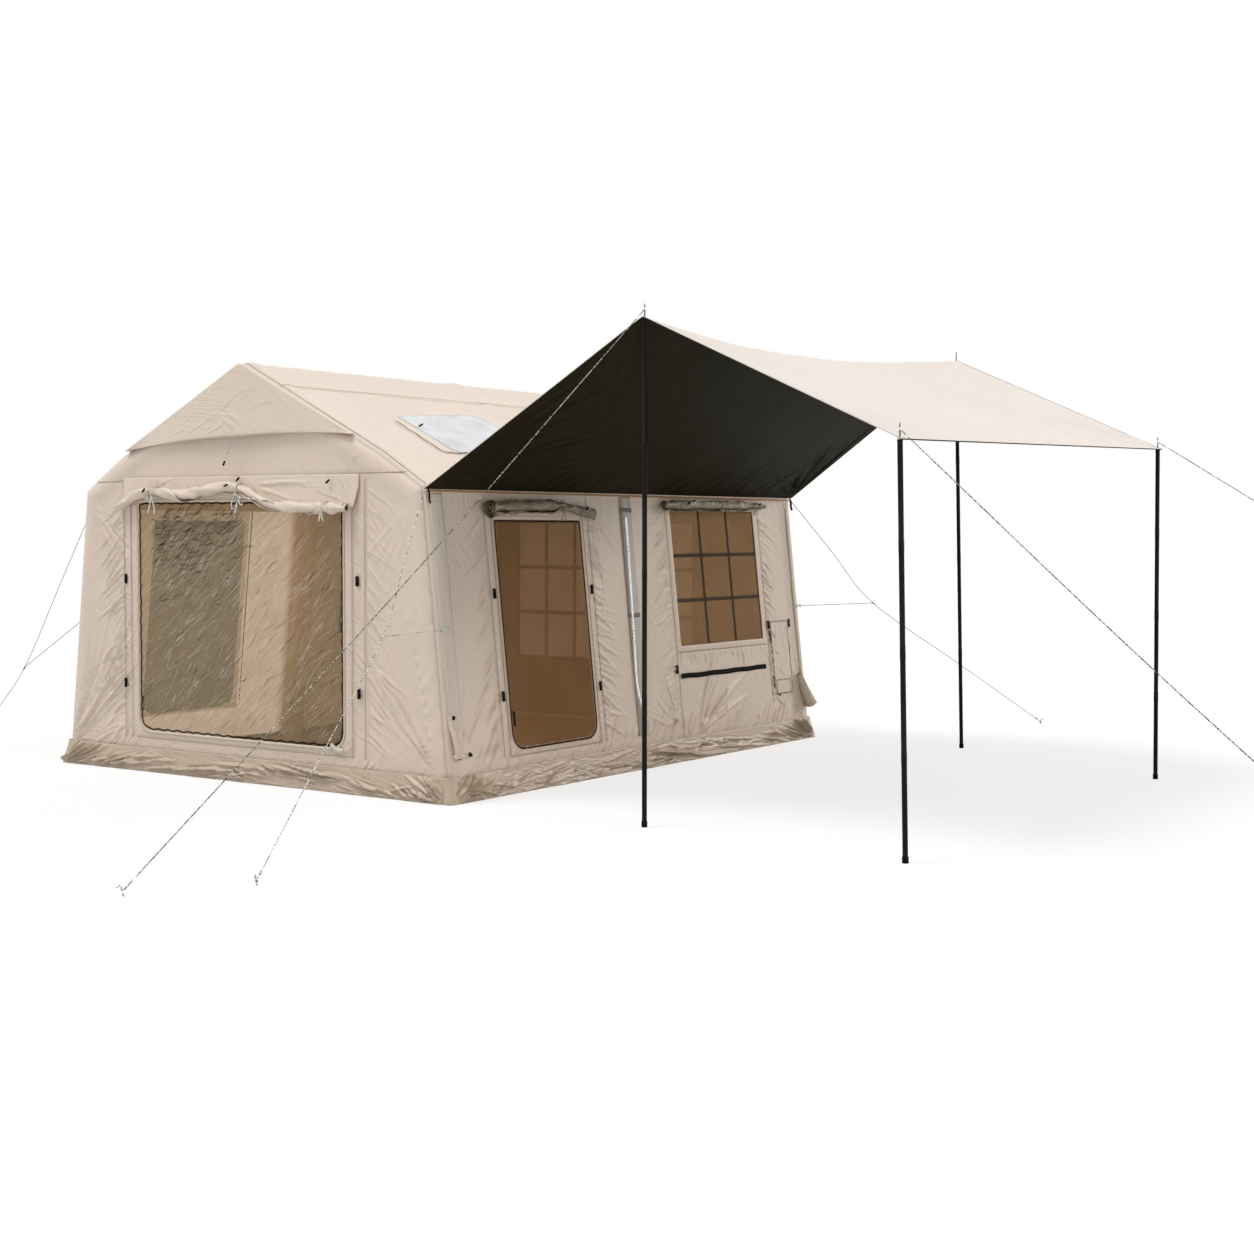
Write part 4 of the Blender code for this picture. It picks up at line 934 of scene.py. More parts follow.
def loopRound(centre, axis, radius, turns=1.0, rise=0.0, steps=20):
    # turns of cord wound round an axis
    axis = Vector(axis).normalized()
    one = axis.orthogonal().normalized()
    two = axis.cross(one)
    points = []
    for step in range(round(steps * turns) + 1):
        angle = 2 * math.pi * step / steps
        points.append(Vector(centre) + (one * math.cos(angle) + two * math.sin(angle)) * radius
                      + axis * (rise * step / (steps * turns)))
    return points


def pegLoop(spot, tilt, radius, rise):
    return loopRound(spot - tilt * 0.006, tilt, guys["pegThick"] / 2 + radius, 2.4, rise)


def whipping(place, along, radius, turns, rise=0.02):
    # close turns of thin cord round a rope
    return loopRound(place, along, radius * 1.7, turns, rise, 12)


def tautRope(name, route, thick, finish, replaced):
    rope = curvePiece(name, [route], thick / 2, finish, replaced=(replaced,))


def makePoleGuy(name, pole):
    thick, radius, spike = guys["thick"], guys["thick"] / 2, guys["spikeThick"] / 2
    foot, shoulder = Vector((*pole["foot"], 0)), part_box(name)[1].z - spikeHeight
    tilt = Vector((*pole["top"], shoulder)) - foot
    top = foot + tilt * ((shoulder + guys["sheet"] + guys["startAbove"]) / shoulder)
    short = name.replace("_pole", "")
    spot, pegTilt, peg = pegAt(short + "_peg", pole["peg"], top)
    start = endNear(top, spot, tilt, spike, thick)
    end = endNear(spot, top, pegTilt, guys["pegThick"] / 2, thick)
    middle = start.lerp(end, 0.5) - Vector((0, 0, guys["sag"] * (end - start).length))
    knots = [loopRound(top - tilt.normalized() * 0.004, tilt, spike + radius, 2.6, 0.011),
             pegLoop(spot, pegTilt, radius, 0.010),
             whipping(start.lerp(end, 0.012), end - start, radius, 3.5),
             whipping(end.lerp(start, 0.014), start - end, radius, 3.5)]
    loops = curvePiece(short + "Knots", knots, radius * 0.9, braidSilver, resolution=2, asMesh=True)
    route = smoothRoute([start, middle, end], 24)
    tautRope(short + "Guy", route, thick, guyFlecked, short + "_guy")


def guyStarts(guy):
    # where a corner's rope and its branch start, along the wall
    if guy["y"] is None:
        return leftGuyY, leftGuyY
    return guy["y"] * guys["innerEnd"], guy["y"] * (guys["innerEnd"] - guys["branchInset"])


def makeCornerGuy(name, guy):
    thick, radius, finish = guys["cornerThick"], guys["cornerThick"] / 2, guy["finish"]
    side, joint = guy["side"], Vector(guy["joint"])
    eaveY, branchY = guyStarts(guy)
    start = startOnWall(side, eaveY, guys["eaveHeight"], joint, thick)
    spot, pegTilt, peg = pegAt(name + "_peg", guy["peg"], joint)
    end = endNear(spot, joint, pegTilt, guys["pegThick"] / 2, thick)
    knots = [pegLoop(spot, pegTilt, radius, 0.009), whipping(end.lerp(joint, 0.02), joint - end, radius, 4)]
    loops = curvePiece(name + "Knots", knots, radius * 0.85, finish, resolution=2, asMesh=True)
    route = smoothRoute([start, start.lerp(joint, 0.5), joint, joint.lerp(end, 0.5), end], 26)
    tautRope(name + "Guy", route, thick, finish, name + "_guy")
    begin = startOnWall(side, branchY, guys["branchHeight"], joint, thick)
    run = (joint - begin).normalized()
    angle = min(run.angle(joint - start), run.angle(end - joint))
    tie = radius * (1 + math.cos(angle)) + 3 * cabin["clear"]
    stop = joint - run * (tie / math.sin(angle))
    tied = [whipping(joint - (end - joint).normalized() * 0.01, end - joint, radius, 5, 0.03)]
    knot = curvePiece(name + "BranchKnot", tied, radius * 0.85, finish, resolution=2, asMesh=True)
    route = smoothRoute([begin, begin.lerp(stop, 0.5), stop], 16)
    tautRope(name + "GuyBranch", route, thick, finish, name + "_guy_branch")


def makeSpareGuy():
    # an unused guy left hanging down the middle arch's sleeve
    route = []
    for y, height, out in spareGuy:
        clear = guys["webbing"] / 2 + 2 * cabin["clear"] + out
        x = wallX(height) + clear * math.cos(lean)
        route.append(Vector((x, y, height + clear * math.sin(lean))))
    points = smoothRoute(route, 60)
    item = curvePiece("spareGuyBraid", [points], guys["webbing"] / 2, braidSilver, replaced=("spare_guy",))


for name, pole in poles.items():
    if pole["peg"]:
        makePoleGuy(name, pole)
for name, guy in cornerGuys.items():
    makeCornerGuy(name, guy)
makeSpareGuy()
print("guy ropes made")


# openings in the walls, across then up
openings = {
    "frontDoor": {"a": (-0.865, 0.79), "b": (0.25, 1.62), "corner": 0.09, "top": 0.012},
    "rearWindow": {"a": (-1.06, 0.56), "b": (0.47, 1.52), "corner": 0.012},
    "sideDoor": {"a": (-1.41, -0.62), "b": (0.25, 1.515), "corner": 0.09, "top": 0.012},
    "sideWindow": {"a": (0.39, 1.43), "b": (0.725, 1.59), "corner": 0.012},
    "skylight": {"a": (-1.29, -0.46), "down": (0.572, 1.12), "corner": 0.04},
}


seamLines = {
    "front": [[(-0.995, 0.2), (-0.995, 1.72)], [(-0.935, 0.2), (-0.935, 1.62)], [(0.86, 0.2), (0.86, 1.6)],
              [(0.955, 0.2), (0.955, 1.74)], [(-1.25, 1.745), (-0.4, 1.752), (0.5, 1.765), (1.24, 1.775)],
              [(-0.9, 0.205), (0.86, 0.205)]],
    "rear": [[(-1.16, 0.3), (-1.16, 1.66)], [(0.66, 0.3), (0.66, 1.66)], [(-1.25, 1.76), (1.25, 1.76)],
             [(-1.14, 0.40), (0.64, 0.40)]],
    "side": [[(-1.505, 0.2), (-1.505, 1.66)], [(-1.45, 0.2), (-1.45, 1.55)], [(-0.575, 0.2), (-0.575, 1.55)],
             [(-0.52, 0.2), (-0.52, 1.66)], [(0.335, 0.15), (0.335, 1.66)], [(1.495, 0.28), (1.495, 1.62)],
             [(0.36, 0.685), (1.46, 0.685)], [(-1.45, 0.205), (-0.57, 0.205)]],
}


def seamRelief(lines, u, v):
    # a stitched seam pulls the cloth in along its line
    total = np.zeros(u.shape)
    for line in lines:
        for start, end in zip(line, line[1:]):
            du, dv = end[0] - start[0], end[1] - start[1]
            size = math.hypot(du, dv)
            along = np.clip(((u - start[0]) * du + (v - start[1]) * dv) / size ** 2, 0, 1)
            away = np.hypot(u - start[0] - du * along, v - start[1] - dv * along)
            total = np.minimum(total, -0.0035 * np.exp(-(away / 0.011) ** 2))
    return total


def bands(low, high, spots, spacing, angle, seed, height=0.004):
    # slanting gathers inside a stitched band that runs up a doorway's side
    draw = np.random.default_rng(seed)
    folds, place = [], low
    while place < high:
        turn = math.radians(angle + draw.uniform(-8, 8))
        u = spots[0] if math.cos(turn) > 0 else spots[1]
        size = (spots[1] - spots[0]) * 1.1 / abs(math.cos(turn))
        folds.append((u, place, u + size * math.cos(turn), place + size * math.sin(turn), 0.009,
                      height * draw.uniform(0.6, 1.3), 0.0))
        place += spacing * draw.uniform(0.7, 1.3)
    return folds


frontFolds = (
    puckers((-1.0, 0.35), (-1.0, 1.65), 0.034, 0.34, 224, 0.011, 0.009, 11)
    + bands(0.3, 1.6, (-1.0, -0.93), 0.030, -35, 12, 0.006)
    + bands(0.3, 1.6, (-0.93, -0.87), 0.026, -35, 24, 0.008)
    + bands(0.3, 1.6, (0.80, 0.86), 0.026, -35, 13, 0.008)
    + bands(0.3, 1.7, (0.86, 0.955), 0.030, -35, 25, 0.006)
    + puckers((0.96, 0.3), (0.96, 1.7), 0.032, 0.28, -42, 0.011, 0.006, 14)
    + puckers((-1.5, 0.15), (1.5, 0.15), 0.04, 0.16, 56, 0.011, 0.005, 15)
    + puckers((-0.85, 0.23), (0.85, 0.23), 0.04, 0.06, 40, 0.011, 0.007, 16)
    + fan((-1.50, 0.12), (35, 80), (0.5, 1.4), 18, 0.014, 0.010, 17)
    + fan((1.47, 0.16), (96, 142), (0.4, 1.3), 20, 0.013, 0.007, 18)
    + fan((0.95, 0.75), (-66, -28), (0.3, 0.8), 12, 0.012, 0.006, 19)
    + fan((-0.98, 0.3), (200, 260), (0.15, 0.5), 9, 0.012, 0.006, 20)
    + fan((1.30, 1.62), (212, 262), (0.3, 0.9), 10, 0.014, 0.0035, 21)
    + fan((-1.30, 1.62), (-85, -25), (0.3, 0.9), 12, 0.014, 0.005, 22)
    + puckers((-1.3, 1.77), (1.3, 1.77), 0.06, 0.12, 76, 0.012, 0.003, 23)
    + fan((0.95, 1.9), (200, 300), (0.1, 0.45), 9, 0.014, 0.004, 26)
)


def gableRelief(folds, opening, lines, seed):
    def relief(x, z):
        inside = insideOutline(x, z)
        edge = smooth(inside / 0.10)
        away = smooth(outside(opening)(x, z) / 0.10)
        slack = -0.010 * (0.5 + 0.5 * latticeNoise(x, z, 0.7, seed)) * away
        rough = 0.0018 * latticeNoise(x, z * 0.6, 0.16, seed + 1)
        rough += 0.0006 * latticeNoise(x + z, z, 0.05, seed + 2)
        sleeve = 0.010 * np.exp(-((inside - 0.09) / 0.05) ** 2)
        return edge * (slack + rough * away + sleeve + foldField(folds, x, z) * (0.3 + 0.7 * away) * 0.85
                       + seamRelief(lines, x, z)) + 0.0005
    return relief


rearFolds = (
    puckers((-1.16, 0.4), (-1.16, 1.6), 0.05, 0.2, 212, 0.013, 0.006, 41)
    + puckers((0.66, 0.4), (0.66, 1.6), 0.05, 0.22, -30, 0.013, 0.006, 42)
    + bands(0.45, 1.6, (-1.16, -1.08), 0.04, -35, 48) + bands(0.45, 1.6, (0.58, 0.66), 0.04, -35, 49)
    + puckers((-1.5, 0.15), (1.5, 0.15), 0.05, 0.13, 62, 0.012, 0.006, 43)
    + fan((-1.50, 0.12), (35, 80), (0.4, 1.1), 10, 0.018, 0.010, 44)
    + fan((1.50, 0.12), (100, 145), (0.4, 1.2), 12, 0.018, 0.010, 45)
    + fan((1.30, 1.62), (195, 262), (0.3, 0.8), 8, 0.016, 0.007, 46)
    + puckers((-1.3, 1.77), (1.3, 1.77), 0.07, 0.12, 80, 0.013, 0.004, 47)
)
frontRelief = gableRelief(frontFolds, openings["frontDoor"], seamLines["front"], 30)
rearRelief = gableRelief(rearFolds, openings["rearWindow"], seamLines["rear"], 50)


def sideFolds(seed):
    return (
        puckers((-1.51, 0.3), (-1.51, 1.6), 0.034, 0.26, 222, 0.010, 0.007, seed)
        + puckers((-0.52, 0.3), (-0.52, 1.6), 0.034, 0.22, -22, 0.010, 0.007, seed + 1)
        + bands(0.3, 1.5, (-1.505, -1.45), 0.03, 30, seed + 13, 0.006)
        + bands(0.3, 1.5, (-0.575, -0.52), 0.03, -30, seed + 14, 0.006)
        + puckers((-1.95, 0.15), (1.95, 0.15), 0.055, 0.26, 48, 0.015, 0.006, seed + 2)
        + puckers((-1.4, 0.23), (-0.62, 0.23), 0.05, 0.06, -50, 0.011, 0.006, seed + 3)
        + puckers((0.33, 0.3), (0.33, 1.6), 0.036, 0.24, 205, 0.010, 0.007, seed + 4)
        + puckers((0.36, 0.69), (1.46, 0.69), 0.055, 0.13, -76, 0.015, 0.005, seed + 5)
        + puckers((1.50, 0.3), (1.50, 1.6), 0.034, 0.22, -32, 0.010, 0.007, seed + 6)
        + fan((-1.93, 1.6), (-88, -50), (0.4, 1.2), 10, 0.013, 0.005, seed + 7)
        + fan((-1.95, 0.15), (45, 85), (0.2, 0.7), 8, 0.012, 0.006, seed + 8)
        + fan((-0.5, 1.62), (-85, -30), (0.2, 0.8), 8, 0.013, 0.004, seed + 9)
        + fan((0.3, 0.2), (105, 165), (0.2, 0.6), 8, 0.012, 0.005, seed + 10)
        + fan((0.5, 0.15), (15, 60), (0.3, 1.0), 9, 0.019, 0.007, seed + 15)
        + fan((1.95, 0.2), (95, 150), (0.2, 0.7), 8, 0.012, 0.006, seed + 11)
        + puckers((-1.9, 1.66), (1.9, 1.66), 0.05, 0.12, -80, 0.011, 0.003, seed + 12)
    )


def sideRelief(folds, seed):
    def relief(y, z):
        edge = smooth((halfLength - np.abs(y)) / 0.12)
        door, window = outside(openings["sideDoor"])(y, z), outside(openings["sideWindow"])(y, z)
        away = smooth(np.minimum(door, window) / 0.10)
        top = smooth((cabin["eave"] + 0.02 - z) / 0.10)
        slack = -0.010 * (0.5 + 0.5 * latticeNoise(y, z, 0.6, seed)) * away
        rough = 0.0014 * latticeNoise(y, z * 0.5, 0.13, seed + 1)
        rough += 0.0006 * latticeNoise(y, z + y, 0.05, seed + 2)
        sleeves = sum(0.014 * np.exp(-((y - middle) / 0.055) ** 2) for middle in (-1.90, 1.90))
        away = away * (1 - 0.85 * np.exp(-((y + 0.12) / 0.10) ** 4))
        return edge * top * (slack + rough * away + foldField(folds, y, z) * (0.15 + 0.85 * away) * 1.5
                             + sleeves + seamRelief(seamLines["side"], y, z)) + 0.0005
    return relief


rightRelief, leftRelief = sideRelief(sideFolds(60), 120), sideRelief(sideFolds(90), 130)


def layWall(name, bm, place, relief, replaced):
    area = flatArea(bm)
    item = layCloth(name, bm, place, relief, [canvas, lining], replaced=(replaced,),
                    thickness=cabin["cloth"], inner=1)


def makeGable(name, place, relief, opening, replaced):
    half = cabin["halfFloor"]
    (left, right), (low, high) = opening["a"], opening["b"]
    dense = [(left - 0.33, left), (right, right + 0.36)]
    uLines = denseLines([-half, left, right, half], dense, 0.017, 0.0095)
    vLines = denseLines([0.03, low, high, cabin["ridge"]], [(0.03, 1.7)], 0.014, 0.0080)
    bm = flatCloth(uLines, vLines, [outside(opening), lambda x, z: insideOutline(x, z) - cornerInset])
    layWall(name, bm, place, relief, replaced)


def makeLongWall(name, place, relief, replaced):
    limit, top = halfLength - cornerInset, cabin["eave"]
    door, window = openings["sideDoor"], openings["sideWindow"]
    dense = [(-1.75, -1.41), (-0.62, -0.36), (0.20, 0.39), (1.43, 1.72)]
    uLines = denseLines([-limit, *door["a"], *window["a"], limit], dense, 0.0135, 0.009)
    vLines = gridLines([0.03, door["b"][0], window["b"][0], door["b"][1], window["b"][1], top], 0.0100)
    bm = flatCloth(uLines, vLines, [outside(door), outside(window)])
    layWall(name, bm, place, relief, replaced)


makeGable("frontGable", frontWall, frontRelief, openings["frontDoor"], "front_wall")
makeGable("rearGable", rearWall, rearRelief, openings["rearWindow"], "rear_wall")
makeLongWall("rightSide", rightWall, rightRelief, "right_wall")
makeLongWall("leftSide", leftWall, leftRelief, "left_wall")
print("walls made")


# the roof is one cloth from eave to eave
ridgeRun = sectionLength / 2
openings["skylight"]["b"] = tuple(ridgeRun - down for down in reversed(openings["skylight"]["down"]))
skyTop = {"bend": -0.60, "slope": 0.139, "overlap": 0.02}


def outsideSkylight(y, run):
    # the skylight is a rounded rectangle whose top edge drops towards its near end
    sky = openings["skylight"]
    above = run - sky["b"][1] + skyTop["slope"] * np.maximum(skyTop["bend"] - y, 0)
    return np.maximum(outside(sky)(y, run), above)


roofFolds = (
    puckers((-1.9, ridgeRun), (1.9, ridgeRun), 0.10, 0.16, -80, 0.016, 0.003, 141)
    + puckers((-1.9, ridgeRun), (1.9, ridgeRun), 0.10, 0.16, 80, 0.016, 0.003, 142)
    + puckers((-1.9, eaveRun + 0.03), (1.9, eaveRun + 0.03), 0.08, 0.14, 75, 0.014, 0.003, 143)
    + puckers((-1.9, sectionLength - eaveRun - 0.03), (1.9, sectionLength - eaveRun - 0.03), 0.08, 0.14, -75,
              0.014, 0.003, 144)
    + fan((-1.9, eaveRun + 0.05), (10, 80), (0.2, 0.8), 9, 0.018, 0.004, 145)
    + fan((1.9, eaveRun + 0.05), (100, 170), (0.2, 0.8), 9, 0.018, 0.004, 146)
)


def roofRelief(y, run):
    edge = smooth((halfLength - np.abs(y)) / 0.12)
    eaves = smooth((np.minimum(run - eaveRun, sectionLength - eaveRun - run) + 0.02) / 0.14)
    ridge = 1 - np.exp(-((run - ridgeRun) / 0.12) ** 2)
    away = smooth(outsideSkylight(y, run) / 0.12)
    slack = -0.014 * (0.55 + 0.45 * latticeNoise(y, run, 0.8, 150)) * eaves * ridge * away
    rough = 0.002 * latticeNoise(y, run, 0.14, 151)
    beams = sum(0.012 * np.exp(-((y - middle) / 0.06) ** 2) for middle in (-1.92, -0.10, 1.92))
    return edge * (slack + rough + foldField(roofFolds, y, run) * (0.3 + 0.7 * away) + beams * eaves) + 0.0005


def makeRoof():
    limit, sky = halfLength - cornerInset, openings["skylight"]
    uLines = gridLines([-limit, *sky["a"], limit], 0.02)
    vLines = gridLines([eaveRun, *sky["b"], ridgeRun, sectionLength - eaveRun], 0.018)
    bm = flatCloth(uLines, vLines, [outsideSkylight])
    area = flatArea(bm)
    item = layCloth("roofCloth", bm, wrapPlace, roofRelief, [roofCanvasPaintedPale, lining],
                    replaced=("right_roof", "left_roof"), thickness=cabin["cloth"], inner=1)
    more = skyTop["overlap"]
    pane = {"a": (sky["a"][0] - more, sky["a"][1] + more), "b": (sky["b"][0] - more, sky["b"][1] + more)}

    def insidePane(y, run):
        return more - outsideSkylight(y, run)

    def paneRelief(y, run):
        return 0.0026 + 0.002 * latticeNoise(y, run, 0.09, 160) * smooth(insidePane(y, run) / 0.05)

    bm = flatCloth(gridLines(pane["a"], 0.02), gridLines(pane["b"], 0.02), [insidePane])
    area = flatArea(bm)
    item = layCloth("skylightSheet", bm, wrapPlace, paneRelief, [skylightVinyl],
                    replaced=("skylight_pane",), thickness=0.0015)


makeRoof()
print("roof made")


hood = {"halfWidth": 0.97, "hem": 1.925, "rise": 0.062, "lift": 0.035, "clear": 0.0045, "flange": 0.035,
        "seam": 0.93, "tilt": 0.056, "nearEnd": 0.85}


def roofHeight(x):
    half = len(sectionPath) // 2 + 1
    return np.interp(np.abs(x), sectionPath[:half, 0][::-1], sectionPath[:half, 1][::-1])


def makeHood(name, end, replaced, seed):
    # a short fly over the gable, from the roof's edge down to its hem
    draw = np.random.default_rng(seed)
    folds = puckers((-0.9, 0.03), (0.9, 0.03), 0.07, 0.09, 62, 0.011, 0.003, seed + 1)
    for index in range(14):
        way = -1 if index % 3 == 0 else 1
        x, low = -way * draw.uniform(-0.1, 0.7), draw.uniform(0.03, 0.2)
        folds.append((x, low, x + way * draw.uniform(0.12, 0.4), low + draw.uniform(0.08, 0.22),
                      draw.uniform(0.012, 0.020), draw.uniform(0.002, 0.0055), draw.uniform(-0.01, 0.01)))

    def place(x, share, lift):
        top = roofHeight(x) - 0.004
        hem = hood["hem"] + hood["rise"] * (1 - (x / hood["halfWidth"]) ** 2)
        hem += hood["tilt"] * np.maximum(x, 0) / hood["halfWidth"]
        hem = np.minimum(hem, top - 0.006)
        drop = np.minimum((top - hem) / (cabin["ridge"] - hood["hem"]), 1)
        over = np.clip((share - hood["seam"]) / (1 - hood["seam"]), 0, 1)
        down = 1 - np.minimum(share / hood["seam"], 1)
        out = hood["clear"] + hood["lift"] * down * (0.35 + 0.65 * drop) + lift * drop
        out = out * (1 - over) - hood["flange"] * over
        return np.stack([x, end * (halfLength + out), top + (hem - top) * down - 0.0036 * over], 1)

    def relief(x, share):
        wrinkles = foldField(folds, x, share * 0.43) + 0.003 * latticeNoise(x, share * 0.43, 0.12, seed + 2)
        return np.maximum(wrinkles, -0.004) * smooth((1 - share) / 0.15) + 0.001

    near = hood["nearEnd"]
    bm = flatCloth(gridLines([-hood["halfWidth"], near], 0.011), gridLines([0, 1], 0.016))
    item = layCloth(name, bm, place, relief, [coverCanvas, canvas], replaced=(replaced,), thickness=0.0015,
                    inner=1)
    hem = ribbons(name + "Hem", place, [[(-0.94, 0.03), (near - 0.01, 0.03)]], 0.055,
                  lambda x, share: relief(x, share) + 0.001, canvasTape, thickness=0.0014)


makeHood("frontHood", -1, "front_hood", 170)
makeHood("rearHood", 1, "rear_hood", 180)
print("hoods made")


# the groundsheet and the skirt that turns up from it
skirt = {"height": 0.145, "flare": 0.012, "corner": 0.045, "depth": 0.022, "point": 0.016}


def makeGround():
    bm = flatCloth(gridLines([-1.553, 1.553], 0.06), gridLines([-1.993, 1.993], 0.06))
    item = layCloth("groundSheet", bm,
                    lambda u, v, lift: np.stack([u, v, lift], 1),
                    lambda u, v: 0.006 + 0.003 * np.abs(latticeNoise(u, v, 0.3, 190)), [groundBrown],
                    replaced=("floor",), thickness=0.003)


def footPath():
    # the cabin's foot, walked round outwards, as places and ways out
    corner = skirt["corner"]
    halfX, halfY = cabin["halfFloor"] + 0.001, halfLength + 0.001
    spots, outs = [], []
    for signX, signY, start in ((1, -1, -90), (1, 1, 0), (-1, 1, 90), (-1, -1, 180)):
        centre = Vector((signX * (halfX - corner), signY * (halfY - corner)))
        for step in range(7):
            angle = math.radians(start + 15 * step)
            out = Vector((math.cos(angle), math.sin(angle)))
            spots.append(centre + out * corner)
            outs.append(out)
    spots.append(spots[0].copy())
    outs.append(outs[0].copy())
    spots = np.array(spots)
    return spots, np.array(outs), walked(spots)


def makeSkirt():
    spots, outs, run = footPath()
    around = run[-1]
    draw = np.random.default_rng(200)
    folds = []
    place = 0.0
    corners = np.append(run[3::7], run[3] + around)
    while place < around:
        away = place - corners[np.argmin(np.abs(corners - place))]
        close = float(smooth(1 - abs(away) / 0.7))
        turn = math.copysign(draw.uniform(0.12, 0.46) * (1 - 0.6 * close), away)
        turn *= 1 if draw.uniform() < 0.8 else -0.7
        low = draw.uniform(-0.01, 0.095) * (1 - close)
        rise = draw.uniform(0.008, 0.05) * (1 - close) + draw.uniform(0.07, 0.14) * close
        folds.append((place, low, place + turn, low + rise, draw.uniform(0.007, 0.014),
                      draw.uniform(0.35, 1.25) * skirt["depth"], draw.uniform(-0.008, 0.008)))
        place += draw.uniform(0.022, 0.060)

    for index, corner in enumerate(corners):
        folds += fan((corner, -0.01), (6, 58), (0.16, 0.5), 11, 0.010, 0.023, 320 + index)
        folds += fan((corner, -0.01), (122, 174), (0.16, 0.5), 11, 0.010, 0.023, 330 + index)

    def footPlace(u, v, lift):
        (x, y), (ox, oy) = pathAt(u, run, spots), pathAt(u, run, outs)
        size = np.hypot(ox, oy)
        ox, oy = ox / size, oy / size
        inward = math.tan(lean) * v * np.abs(ox)
        return np.stack([x + ox * (lift - inward), y + oy * (lift - inward), v + 0 * lift], 1)

    def relief(u, v):
        low = smooth(1 - v / skirt["height"])
        seam = smooth((skirt["height"] - v) / 0.02)
        ends = smooth(np.minimum(u, around - u) / 0.02)
        crumple = 0.0006 * latticeNoise(u, v * 1.6, 0.04, 201) + 0.004 * latticeNoise(u, v, 0.12, 202)
        height = foldField(folds, u, v) * (0.2 + 0.8 * smooth(v / 0.035)) + crumple + skirt["flare"] * low
        pointed = sum(np.exp(-((u - corner) / 0.025) ** 2) for corner in corners) * low
        raised = np.maximum(height * (0.25 + 0.75 * seam) * ends + 0.004, -0.001)
        return 0.003 + raised + skirt["point"] * pointed

    bm = flatCloth(gridLines([0, around], 0.0075), gridLines([0.002, skirt["height"]], 0.0065))
    item = layCloth("footSkirt", bm, footPlace, relief, [skirtCanvas], thickness=0.0015)


makeGround()
makeSkirt()
print("ground and skirt made")


# the awning: u runs from the wall over its ridge to the outer edge, v along the tent
awning = {
    "eave": (1.684, 1.692), "corner": 0.018, "ridgeSag": 0.10, "panelSag": 0.045,
    "inner": 1.64, "outer": 1.62, "along": 4.05, "off": 0.0012,
}


def awningPlace(u, v, lift):
    share = np.where(u < awning["inner"], u / awning["inner"], (u - awning["inner"]) / awning["outer"])
    share, along = np.clip(share, 0, 1), np.clip(v / awning["along"], 0, 1)
    reach = awning["corner"]
    corners = {}
    for end, y, height in (("near", -guys["innerEnd"], awning["eave"][0]),
                           ("far", guys["innerEnd"], awning["eave"][1])):
        corners[end + "Wall"] = np.array((wallX(height) + awning["off"], y, height))
        ridge, outer = poles[end + "_ridge_pole"], poles[end + "_outer_pole"]
        sign = -1 if end == "near" else 1
        corners[end + "Ridge"] = np.array((ridge["top"][0], ridge["top"][1] + sign * reach, ridge["sheet"]))
        corners[end + "Edge"] = np.array((outer["top"][0] + reach, outer["top"][1] + sign * reach,
                                          outer["sheet"]))
    inner = (u < awning["inner"])[:, None]
    near = np.where(inner, corners["nearWall"], corners["nearRidge"])
    nearEnd = np.where(inner, corners["nearRidge"], corners["nearEdge"])
    far = np.where(inner, corners["farWall"], corners["farRidge"])
    farEnd = np.where(inner, corners["farRidge"], corners["farEdge"])
    start = near + (nearEnd - near) * share[:, None]
    end = far + (farEnd - far) * share[:, None]
    spots = start + (end - start) * along[:, None]
    pull = np.where(u < awning["inner"], share, 1 - share)
    sag = awning["ridgeSag"] * pull ** 1.5 * np.sin(np.pi * along ** 0.85)
    sag += awning["panelSag"] * np.sin(np.pi * share) * np.sin(np.pi * along)
    spots[:, 2] += lift - sag
    return spots


awningFolds = (
    fan((awning["inner"], 0.0), (20, 160), (0.5, 1.8), 16, 0.035, 0.006, 211)
    + fan((awning["inner"], awning["along"]), (200, 340), (0.5, 1.8), 16, 0.035, 0.006, 212)
    + fan((awning["inner"] + awning["outer"], 0.0), (100, 165), (0.3, 1.3), 10, 0.03, 0.006, 213)
    + fan((awning["inner"] + awning["outer"], awning["along"]), (195, 260), (0.3, 1.3), 10, 0.03, 0.006, 214)
    + fan((0.0, 0.0), (5, 80), (0.4, 1.4), 12, 0.035, 0.012, 215)
    + fan((0.0, awning["along"]), (-80, -5), (0.3, 1.2), 14, 0.030, 0.016, 216)
    + puckers((0.02, 0.3), (0.02, awning["along"] - 0.2), 0.16, 0.5, 0, 0.040, 0.008, 219)
)


def awningRelief(u, v):
    width = awning["inner"] + awning["outer"]
    edge = smooth(np.minimum(np.minimum(u, width - u), np.minimum(v, awning["along"] - v)) / 0.08)
    return edge * (foldField(awningFolds, u, v) + 0.004 * latticeNoise(u, v, 0.35, 217)
                   + 0.001 * latticeNoise(u, v, 0.09, 218))


